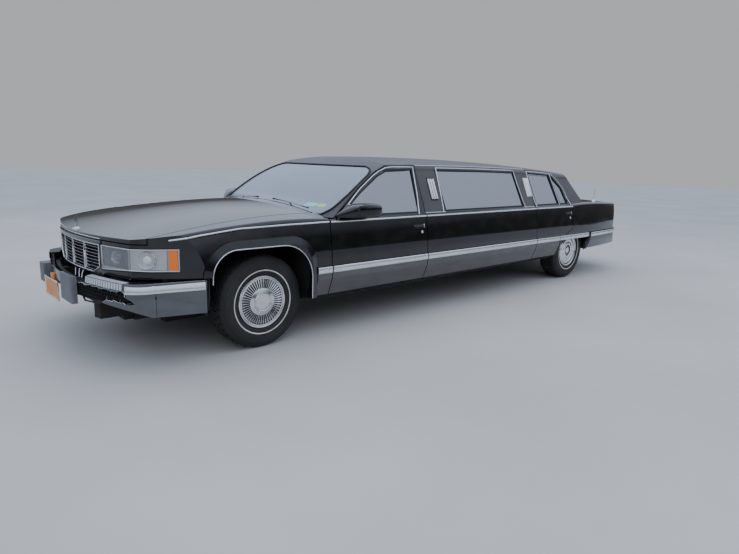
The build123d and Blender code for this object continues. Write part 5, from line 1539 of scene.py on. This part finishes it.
def makeArchLips():
    ahead, behind, top, corner = (archLip[key] for key in ("ahead", "behind", "top", "corner"))
    points = [(frontAxle + ahead, 0.560), (frontAxle + ahead, top - corner)]
    for step in range(1, 9):
        turn = math.radians(90 * step / 8)
        points.append((frontAxle + ahead - corner + corner * math.cos(turn),
                       top - corner + corner * math.sin(turn)))
    large = archLip["round"]
    bend = []
    for step in range(13):
        turn = math.radians(90 + 90 * step / 12)
        bend.append((frontAxle - behind + large + large * math.cos(turn),
                     top - large + large * math.sin(turn)))
    points += bend
    points.append((frontAxle - behind, 0.350))
    y = archLip["y"]
    inner = [(x, y - 0.0015, z) for x, z in bend]
    outer = []
    for x, z in bend:
        reach = max(x - (frontAxle - behind), top - z)
        share = 1 - min(1.0, reach / large)
        outer.append((x - 0.004 - 0.04 * share, y - 0.0015, z + 0.004 + 0.04 * share))
    filler = facing(ribbon("archCornerLeft", [inner, outer]), (0, 1, 0))
    useModifier(filler, "SOLIDIFY", thickness=0.004, offset=-1)
    settle(filler, "archCornerLeft", "paint", "car", smooth=30)
    otherSide(filler)
    lip = rod("archLipLeft", [(x, archLip["y"], z) for x, z in points], archLip["radius"], "chrome", "car",
              sides=2)
    otherSide(lip)


mirrorShell = {
    # distance behind the tip, inner and outer y, low and high z, and how far the ring is drawn in
    "rings": (
        (-0.006, 0.906, 0.920, -0.058, -0.040, 0.6), (0.004, 0.906, 0.932, -0.061, -0.031, 1),
        (0.024, 0.906, 0.958, -0.062, -0.018, 1),
        (0.056, 0.906, 1.002, -0.062, 0.008, 1), (0.094, 0.906, 1.047, -0.062, 0.032, 1),
        (0.136, 0.906, 1.076, -0.061, 0.048, 1), (0.186, 0.907, 1.095, -0.060, 0.057, 1),
        (0.240, 0.910, 1.107, -0.060, 0.060, 1), (0.290, 0.915, 1.108, -0.060, 0.058, 1),
        (0.320, 0.919, 1.104, -0.059, 0.055, 1), (0.331, 0.922, 1.100, -0.057, 0.052, 0.985),
        (0.3345, 0.926, 1.096, -0.054, 0.049, 0.94), (0.3335, 0.929, 1.093, -0.051, 0.046, 0.86),
    ),
    "tip": frontAxle - 0.680,
    "height": 1.018,
    "sides": 48,
    "squareness": 3.4,
    "cover": 0.0085,
    "most": 0.035,
    "glass": ((0.0004, 0.003), (0.030, 0.003), (0.0345, 0.0015), (0.0360, -0.002)),
    "glassPlace": (frontAxle - 1.0125, 1.011, 1.016),
}


def coveringPoint(node, middle, point):
    # a ring's point, moved out where the solid would show through
    away = (point - middle).normalized()
    found, place, _, _ = nodes[node].ray_cast(middle + away * 0.25, -away)
    length = (point - middle).length
    reach = (place - middle).dot(away) + mirrorShell["cover"] if found else 0
    return middle + away * min(max(length, reach), length + mirrorShell["most"])


def makeMirrorShell():
    rows = []
    for back, inner, outer, lowZ, highZ, draw in mirrorShell["rings"]:
        halfY, halfZ = (outer - inner) / 2 * draw, (highZ - lowZ) / 2 * draw
        ring = []
        for step in range(mirrorShell["sides"] + 1):
            turn = 2 * math.pi * (step % mirrorShell["sides"]) / mirrorShell["sides"]
            away = (abs(math.cos(turn)) ** mirrorShell["squareness"]
                    + abs(math.sin(turn)) ** mirrorShell["squareness"]) ** (-1 / mirrorShell["squareness"])
            middle = Vector((mirrorShell["tip"] - back, (inner + outer) / 2,
                             mirrorShell["height"] + (lowZ + highZ) / 2))
            point = middle + Vector((0, halfY * away * math.cos(turn), halfZ * away * math.sin(turn)))
            if math.cos(turn) > -0.3 and math.sin(turn) > -0.25 and 0.02 < back < 0.33:
                point = coveringPoint("door_front_left", middle, point)
            ring.append(point)
        rows.append(ring)
    shell = ribbon("mirrorShellLeft", rows)
    edit(shell)
    bpy.ops.mesh.remove_doubles(threshold=0.00001)
    bpy.ops.mesh.fill_holes(sides=0)
    bpy.ops.mesh.select_all(action="SELECT")
    bpy.ops.mesh.normals_make_consistent(inside=False)
    bpy.ops.object.mode_set(mode="OBJECT")
    useModifier(shell, "SUBSURF", levels=1, render_levels=1)
    settle(shell, "mirrorShellLeft", "paint", "door_front_left_body", smooth=50)
    otherSide(shell)


def makeMirrorGlass():
    place = Matrix.Translation(mirrorShell["glassPlace"]) @ turnBy(-90, "Y")
    place @= Matrix.Diagonal((1.15, 1.9, 1, 1))
    otherSide(turnedPart("mirrorGlassLeft", mirrorShell["glass"], 40, place, "mirrorGlass",
                         "door_front_left_body"))


wiper = {
    "pivots": (0.560, -0.200),
    "blade": (0.380, -0.380),
    "armRadius": 0.0055,
    "cap": ((0.0004, 0.024), (0.009, 0.023), (0.0125, 0.018), (0.014, 0.004), (0.018, 0.0),
            (0.018, -0.006)),
}


def cowlSpot(y):
    # the middle of the cowl's top, across from y
    places = [meets("cowl_panel", (2.20 - step * 0.006, y, 1.3), (0, 0, -1)) for step in range(60)]
    hits = [place for place in places if place is not None]
    return hits[len(hits) // 2]


def makeWiperArms():
    for number, (pivotY, bladeY) in enumerate(zip(wiper["pivots"], wiper["blade"]), 1):
        low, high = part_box("wipers")
        foot = cowlSpot(pivotY)
        end = Vector(((low.x + high.x) / 2 + 0.004, bladeY, (low.z + high.z) / 2 + 0.006))
        middle = foot.lerp(end, 0.45) + Vector((0, 0, 0.014))
        arm = rod("wiperArm", [foot + Vector((0, 0, -0.004)), foot + Vector((0, 0, 0.016)), middle, end],
                  wiper["armRadius"], "plastic", sides=2, kind="NURBS")
        cap = turnedPart("wiperPivot", wiper["cap"], 20, Matrix.Translation(foot), "plastic")
        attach(joined([arm, cap], f"wiperArm{number}"), "car")


feet = {
    "antenna": ((0.0045, 0.030), (0.006, 0.029), (0.008, 0.018), (0.017, 0.010), (0.024, 0.003),
                (0.025, -0.006)),
    "ornament": ((0.004, 0.012), (0.007, 0.010), (0.012, 0.006), (0.019, 0.003), (0.021, 0.0),
                 (0.021, -0.006)),
}


def makeAntennaFoot():
    low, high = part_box("antenna")
    x, y = (low.x + high.x) / 2, (low.y + high.y) / 2
    turnedPart("antennaFoot", feet["antenna"], 28, Matrix.Translation((x, y, low.z)), "chrome", "car")


def makeOrnament():
    low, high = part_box("hood_trim")
    x = (low.x + high.x) / 2
    spot = surfaceSpot("hood_panel", (x, 0.0, 1.2), (0, 0, -1))
    place = Matrix.Translation(spot) @ Matrix.Diagonal((1.5, 0.8, 1, 1))
    turnedPart("ornamentFoot", feet["ornament"], 28, place, "chrome", "hood")


# Tail: lamp covers, bumper pad and plate recess

tail = {
    "lampBars": (0.700, 0.760, 0.820),
    "plate": (0.320, 0.155, 0.735),
    "trimHeight": 0.845,
    "lockHeight": 0.870,
    "lock": ((0.0004, 0.006), (0.013, 0.005), (0.018, 0.003), (0.020, 0.0), (0.020, -0.006)),
}


def tailSpot(y, z, out=0.0):
    return surfaceSpot("boot_lid", (-4.2, y, z), (1, 0, 0), out)


def makeTail():
    points = []
    for step in range(41):
        y = 0.86 - 1.72 * step / 40
        points.append(surfaceSpot("rear_bumper", (-4.3, y, 0.548), (1, 0, 0), -0.005))
    rod("rearBumperPad", points, 0.013, "seal", "car", sides=3)
    points = [point + Vector((-0.006, 0, 0.028)) for point in points]
    rod("rearBumperBright", points, 0.0045, "chrome", "car", sides=2)
    for side, sign in sides:
        bars = []
        for z in tail["lampBars"]:
            line = []
            for step in range(9):
                y = sign * (0.668 + 0.120 * step / 8)
                place = meets("tail_lamps", (-4.3, y, z), (1, 0, 0))
                if place is not None:
                    line.append(place - Vector((0.0015, 0, 0)))
            bars.append(rod("tailLampBar", line, 0.0032, "chrome", sides=2))
        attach(joined(bars, "tailLampBars" + side.title()), "car")
    wide, tall, z = tail["plate"]
    spot = tailSpot(0, z)
    frame = boxBetween("rearPlate", (spot.x - 0.006, -wide / 2, z - tall / 2),
                       (spot.x + 0.006, wide / 2, z + tall / 2))
    sunkFace(frame, "-X", 0.012, (0.003, 0, 0))
    settle(frame, "rearPlate", "chrome", "boot", rounding=0.0015)
    frame.data.materials.append(finishes["plate"])
    for face in frame.data.polygons:
        if face.normal.x < -0.9 and abs(face.center.y) < 0.12 and abs(face.center.z - z) < 0.04:
            face.material_index = 1
    trim = [tailSpot(0.62 - 1.24 * step / 24, tail["trimHeight"], 0.001) for step in range(25)]
    rod("bootTrim", trim, 0.006, "chrome", "boot", sides=2)
    place = Matrix.Translation(tailSpot(0, tail["lockHeight"])) @ turnBy(-90, "Y")
    turnedPart("bootLock", tail["lock"], 28, place, "chrome", "boot")
    print("tail dressed")


# Seats: a plinth, sewn cushions that swell and head rests

hingeX = frontAxle - 0.595
seats = {
    "Front": {
        "node": "front_seat",
        "plinth": ((hingeX - 1.270, 0.331), (hingeX - 0.580, 0.460)),
        "seat": ((hingeX - 1.150, 0.455), (hingeX - 0.562, 0.603)),
        "back": ((hingeX - 1.325, 0.560), (hingeX - 1.165, 1.085)),
        "backLean": 9.5,
        "half": 0.695,
        "headRests": True,
    },
    "Rear": {
        "node": "rear_seats",
        "plinth": ((rearAxle + 0.435, 0.331), (rearAxle + 0.985, 0.480)),
        "seat": ((rearAxle + 0.450, 0.475), (rearAxle + 0.998, 0.632)),
        "back": ((rearAxle + 0.292, 0.560), (rearAxle + 0.440, 1.160)),
        "backLean": 6.5,
        "half": 0.615,
        "headRests": False,
    },
    "Facing": {
        "node": None,
        "plinth": ((hingeX - 1.945, 0.331), (hingeX - 1.435, 0.480)),
        "seat": ((hingeX - 1.948, 0.475), (hingeX - 1.432, 0.634)),
        "back": None,
        "backLean": 0,
        "half": 0.695,
        "headRests": False,
    },
}
cushion = {"pressure": 4, "cap": 0.014, "channels": 5, "channelDepth": 0.006, "shrink": 0.010}


def swell(piece):
    only(piece)
    before = [vertex.co.copy() for vertex in piece.data.vertices]
    cloth = piece.modifiers.new("Cloth", "CLOTH")
    cloth.settings.use_pressure = True
    cloth.settings.uniform_pressure_force = cushion["pressure"]
    cloth.settings.effector_weights.gravity = 0
    for step in range(1, 21):
        bpy.context.scene.frame_set(step)
    bpy.ops.object.modifier_apply(modifier=cloth.name)
    bpy.context.scene.frame_set(1)
    for vertex, place in zip(piece.data.vertices, before):
        shift = vertex.co - place
        if shift.length > cushion["cap"]:
            vertex.co = place + shift.normalized() * cushion["cap"]


def sewnCushion(name, low, high, body, upright=False):
    # a crowned cushion with sewn channels across its face
    gap = cushion["shrink"]
    piece = boxBetween(name, Vector(low) + Vector((gap, gap, 0.004)),
                       Vector(high) - Vector((gap, gap, gap)))
    edit(piece)
    bpy.ops.mesh.subdivide(number_cuts=11)
    bpy.ops.object.mode_set(mode="OBJECT")
    useModifier(piece, "SUBSURF", levels=1, render_levels=1)
    swell(piece)
    long = 2 if upright else 0
    face = 0 if upright else 2
    top = max(vertex.co[face] for vertex in piece.data.vertices)
    span = high[long] - low[long]
    for vertex in piece.data.vertices:
        depth = top - vertex.co[face]
        if depth > 0.045:
            continue
        share = (vertex.co[long] - low[long]) / span
        across = (vertex.co.y - (low[1] + high[1]) / 2) / (high[1] - low[1]) * 2
        seam = min(abs(share - (number + 1) / (cushion["channels"] + 1))
                   for number in range(cushion["channels"]))
        crown = 0.008 * (1 - min(1, abs(share * 2 - 1)) ** 3) * (1 - abs(across) ** 3)
        vertex.co[face] += crown - cushion["channelDepth"] * math.exp(-(seam * span / 0.010) ** 2)
    useModifier(piece, "SUBSURF", levels=1, render_levels=1)
    settle(piece, name, "leather", body, smooth=60)
    return piece


def makeSeats():
    for label, seat in seats.items():
        (lowX, lowZ), (highX, highZ) = seat["plinth"]
        plinth = boxBetween("plinth", (lowX, -seat["half"] + 0.02, lowZ),
                            (highX, seat["half"] - 0.02, highZ))
        edit(plinth)
        chooseFaces(plinth, lambda centre, normal: normal.z < -0.9)
        bpy.ops.transform.resize(value=(0.92, 0.97, 1))
        bpy.ops.object.mode_set(mode="OBJECT")
        settle(plinth, f"seatPlinth{label}", "carpet", "car", rounding=0.018, segments=3)
        if seat["node"]:
            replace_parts(plinth, seat["node"])
        for side, sign in sides:
            yLow, yHigh = sorted((0.004 * sign, seat["half"] * sign))
            (lowX, lowZ), (highX, highZ) = seat["seat"]
            sewnCushion(f"seatCushion{label}{side.title()}", (lowX, yLow, lowZ), (highX, yHigh, highZ),
                        "car")
            if not seat["back"]:
                continue
            (lowX, lowZ), (highX, highZ) = seat["back"]
            back = sewnCushion(f"seatBack{label}{side.title()}", (lowX, yLow, lowZ), (highX, yHigh, highZ),
                               "car", True)
            foot = Matrix.Translation((lowX, 0, lowZ))
            lean = foot @ turnBy(-seat["backLean"], "Y") @ foot.inverted()
            back.data.transform(lean)
            if seat["headRests"]:
                rest = boxBetween("rest", (lowX + 0.03, yLow + 0.20, highZ + 0.005),
                                  (highX - 0.03, yHigh - 0.20, highZ + 0.085))
                edit(rest)
                bpy.ops.mesh.subdivide(number_cuts=5)
                bpy.ops.object.mode_set(mode="OBJECT")
                useModifier(rest, "SUBSURF", levels=2, render_levels=2)
                rest.data.transform(lean)
                settle(rest, f"headRest{label}{side.title()}", "leather", "car", smooth=60)
    print("seats made")


# Cabin fittings

cabin = {
    "vents": (-0.66, -0.12, 0.12, 0.66),
    "mirror": ((0.0004, 0.004), (0.052, 0.004), (0.058, 0.001), (0.060, -0.008), (0.040, -0.022),
               (0.0004, -0.026)),
    "labelHeight": 1.040,
    "labelLean": 0.55,
    # y, height, width, finish
    "labels": ((0.608, 0.044, 0.118, "paleLabel"), (0.712, 0.040, 0.068, "greenLabel")),
}


def makeCabin():
    low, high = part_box("dashboard")
    roll = boxBetween("dashRoll", (low.x - 0.012, -0.825, high.z - 0.095),
                      (high.x - 0.03, 0.825, high.z + 0.012))
    sunkFace(roll, "-X", 0.022, (0.014, 0, -0.004))
    pieces = [settle(roll, "dashRoll", "plastic", rounding=0.022, segments=4)]
    hoodBox = boxBetween("dialHood", (low.x - 0.045, 0.215, high.z - 0.090),
                         (low.x + 0.10, 0.565, high.z + 0.030))
    sunkFace(hoodBox, "-X", 0.014, (0.035, 0, 0))
    pieces.append(settle(hoodBox, "dialHood", "plastic", rounding=0.010, segments=3))
    for y in cabin["vents"]:
        vent = boxBetween("vent", (low.x - 0.016, y - 0.055, high.z - 0.088),
                          (low.x + 0.02, y + 0.055, high.z - 0.030))
        sunkFace(vent, "-X", 0.006, (0.012, 0, 0))
        pieces.append(settle(vent, "vent", "plastic", rounding=0.002))
        for number in range(4):
            z = high.z - 0.080 + number * 0.0135
            slat = boxBetween("slat", (low.x - 0.012, y - 0.048, z), (low.x + 0.004, y + 0.048, z + 0.0025))
            pieces.append(settle(slat, "slat", "plastic", rounding=0.0008, segments=1))
    stack = boxBetween("centreStack", (low.x - 0.014, -0.115, 0.700), (low.x + 0.02, 0.115, 0.830))
    sunkFace(stack, "-X", 0.010, (0.006, 0, 0))
    pieces.append(settle(stack, "centreStack", "grey", rounding=0.004))
    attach(joined(pieces, "dashFittings"), "car")

    rod("steeringColumn", [(hingeX - 0.440, 0.380, 0.850), (hingeX - 0.300, 0.380, 0.790),
                           (hingeX - 0.150, 0.380, 0.730)], 0.036, "plastic", "car", sides=4)
    screen = bpy.data.objects["windscreenGlass"]
    spot = screen.ray_cast(Vector((2.6, 0.0, 1.285)), Vector((-1, 0, 0)))[1]
    place = Matrix.Translation(spot + Vector((-0.075, 0, -0.01))) @ turnBy(-90, "Y")
    place @= Matrix.Diagonal((0.55, 2.0, 1, 1))
    glass = turnedPart("cabinMirror", cabin["mirror"], 40, place, "plastic", capped=True)
    stalk = rod("mirrorStalk", [spot + Vector((-0.016, 0, -0.006)), spot + Vector((-0.045, 0, -0.004)),
                                spot + Vector((-0.066, 0, -0.008))], 0.006, "plastic", sides=2)
    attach(joined([glass, stalk], "cabinMirror"), "car")

    for number, (y, tall, wide, finish) in enumerate(cabin["labels"], 1):
        clearAll()
        bpy.ops.mesh.primitive_grid_add(x_subdivisions=8, y_subdivisions=6, size=1)
        label = bpy.context.object
        edit(label)
        bpy.ops.transform.resize(value=(tall, wide, 1), center_override=(0, 0, 0))
        bpy.ops.object.mode_set(mode="OBJECT")
        for vertex in label.data.vertices:
            height = cabin["labelHeight"] + vertex.co.x * cabin["labelLean"]
            place = screen.ray_cast(Vector((2.8, y + vertex.co.y, height)), Vector((-1, 0, 0)))[1]
            vertex.co = place + Vector((0.0006, 0, 0.0003))
        useModifier(label, "SOLIDIFY", thickness=0.0004, offset=0)
        settle(label, f"blankLabel{number}", finish, "car", smooth=60)

    low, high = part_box("partition")
    rail = [(low.x - 0.008, -0.62, 0.955), (low.x - 0.008, 0.62, 0.955), (low.x - 0.008, 0.56, 1.235),
            (low.x - 0.008, -0.56, 1.235)]
    rod("partitionRail", rail, 0.012, "chrome", "car", closed=True, sides=3)
    print("cabin fitted")


# Engine bay

engine = {
    "coverY": 0.205,
    "coverX": (frontAxle - 0.430, frontAxle + 0.150),
    "cleanerPlace": (frontAxle - 0.080, 0.0, 0.852),
    "cleaner": ((0.0004, 0.052), (0.020, 0.052), (0.026, 0.046), (0.150, 0.042), (0.172, 0.036),
                (0.176, 0.030),
                (0.176, 0.004), (0.170, 0.000), (0.120, -0.004)),
    "nut": ((0.0004, 0.012), (0.006, 0.011), (0.010, 0.004), (0.011, 0.0)),
    "trayLow": 0.470,
    "radiator": ((frontAxle + 0.774, -0.350, 0.306), (frontAxle + 0.824, 0.350, 0.780)),
    "fins": 86,
    "finReach": 0.320,
    "battery": ((frontAxle + 0.330, 0.350, 0.560), (frontAxle + 0.520, 0.490, 0.740)),
    "washer": ((frontAxle + 0.330, -0.480, 0.540), (frontAxle + 0.500, -0.350, 0.720)),
}


def makeEngineBay():
    pieces = []
    startX, stopX = engine["coverX"]
    for sign in (1, -1):
        y = engine["coverY"] * sign
        cover = boxBetween("valveCover", (startX, y - 0.052, 0.776), (stopX, y + 0.052, 0.835))
        sunkFace(cover, "Z", 0.014, (0, 0, 0.010))
        pieces.append(settle(cover, "valveCover", "foam", rounding=0.006, segments=3))
        for number in range(4):
            x = startX + 0.06 + number * (stopX - startX - 0.12) / 3
            lead = [(x, y + sign * 0.046, 0.800), (x + 0.01, y + sign * 0.060, 0.840),
                    (x - 0.03, y - sign * 0.04, 0.868),
                    (frontAxle - 0.37, sign * 0.03, 0.880)]
            pieces.append(rod("plugLead", lead, 0.0040, "seal", sides=2, kind="NURBS"))
    place = Matrix.Translation(engine["cleanerPlace"])
    pieces.append(turnedPart("airCleaner", engine["cleaner"], 56, place @ Matrix.Scale(0.86, 4), "foam",
                             smooth=35))
    place = Matrix.Translation(Vector(engine["cleanerPlace"]) + Vector((0, 0, 0.045)))
    pieces.append(turnedPart("wingNut", engine["nut"], 6, place, "chrome", smooth=25))
    snorkel = [(frontAxle + 0.02, 0.12, 0.868), (frontAxle + 0.14, 0.28, 0.860),
               (frontAxle + 0.26, 0.40, 0.800),
               (frontAxle + 0.30, 0.43, 0.735)]
    pieces.append(rod("airDuct", snorkel, 0.030, "plastic", sides=4, kind="NURBS"))
    hose = [(frontAxle + 0.22, -0.14, 0.765), (frontAxle + 0.25, -0.37, 0.770),
            (frontAxle + 0.70, -0.375, 0.760),
            (frontAxle + 0.778, -0.330, 0.750)]
    pieces.append(rod("radiatorHose", hose, 0.021, "seal", sides=4, kind="NURBS"))
    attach(joined(pieces, "engineTop"), "car")
    for name, corners in (("battery", engine["battery"]), ("washerTank", engine["washer"])):
        box = boxBetween(name, *corners)
        sunkFace(box, "Z", 0.010, (0, 0, 0.008))
        settle(box, name, "plastic" if name == "battery" else "grey", rounding=0.006, segments=3)
        (lowX, lowY, lowZ), (highX, highY, highZ) = corners
        foot = boxBetween("tray", (lowX, lowY, engine["trayLow"]), (highX, highY, lowZ + 0.002))
        settle(foot, "tray", "frame", rounding=0.004)
        whole = joined([box, foot], name)
        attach(whole, "car")
    # radiator fins and tanks over the plain core
    low, high = (Vector(corner) for corner in engine["radiator"])
    fin = boxBetween("fin", (high.x - 0.002, -0.0009, low.z + 0.03),
                     (high.x + 0.004, 0.0009, high.z - 0.03))
    settle(fin, "fin", "iron")
    fins = []
    for number in range(engine["fins"]):
        place = Matrix.Translation((0, engine["finReach"] * (2 * number / (engine["fins"] - 1) - 1), 0))
        fins.append(placedCopy(fin, "fin", place, "car"))
    discard(fin)
    for z in (low.z + 0.012, high.z - 0.032):
        tank = boxBetween("tank", (low.x - 0.006, -0.352, z), (high.x + 0.008, 0.352, z + 0.034))
        fins.append(settle(tank, "tank", "plastic", rounding=0.008, segments=3))
    settle(joined(fins, "radiatorFins"), "radiatorFins", None, "car", smooth=30)
    print("engine bay dressed")


# Underside: springs, silencers, shields

under = {
    "springPlace": (rearAxle, 0.520, 0.402),
    "springHeight": 0.088,
    "springRadius": 0.058,
    "silencer": ((0.0004, 0.0), (0.045, 0.002), (0.082, 0.014), (0.088, 0.030), (0.088, 0.560),
                 (0.082, 0.576),
                 (0.045, 0.588), (0.0004, 0.590)),
    "silencerPlaces": (frontAxle - 2.20, rearAxle - 0.95),
    "shield": ((rearAxle - 0.4185, 0.655, 0.345), (rearAxle - 0.4063, 0.9135, 0.640)),
}


def makeUnderside():
    x, y, z = under["springPlace"]
    points = []
    turns = 4
    for step in range(turns * 14 + 1):
        angle = 2 * math.pi * step / 14
        points.append((x + under["springRadius"] * math.cos(angle),
                       y + under["springRadius"] * math.sin(angle),
                       z + under["springHeight"] * step / (turns * 14)))
    spring = rod("springCoilLeft", points, 0.0065, "frame", "car", sides=2)
    otherSide(spring)
    for number, start in enumerate(under["silencerPlaces"], 1):
        place = Matrix.Translation((start, 0.250, 0.162)) @ turnBy(90, "Y")
        place @= Matrix.Diagonal((0.62, 1.15, 1, 1))
        turnedPart(f"silencer{number}", under["silencer"], 32, place, "steel", "car", smooth=35)
    low, high = under["shield"]
    shield = boxBetween("splashShieldLeft", low, high)
    sunkFace(shield, "-X", 0.018, (0.003, 0, 0))
    settle(shield, "splashShieldLeft", "seal", "car", rounding=0.0015)
    otherSide(shield)
    print("underside dressed")


finishes = makeMaterials()
finishNodes()
setCamera()
setStudio()
makeWheels()
makeGrille()
makeHoodEdge()
makeHeadlamps()
makeTornEdges()
makeAbsorber()
makeBumperTrim()
makeWindowTrim()
makeWindscreen()
makeRearScreenTrim()
makeStrips()
makeHandles()
makeOperaLamps()
makeArchLips()
makeMirrorShell()
makeMirrorGlass()
makeWiperArms()
makeAntennaFoot()
makeOrnament()
makeTail()
makeSeats()
makeCabin()
makeEngineBay()
makeUnderside()
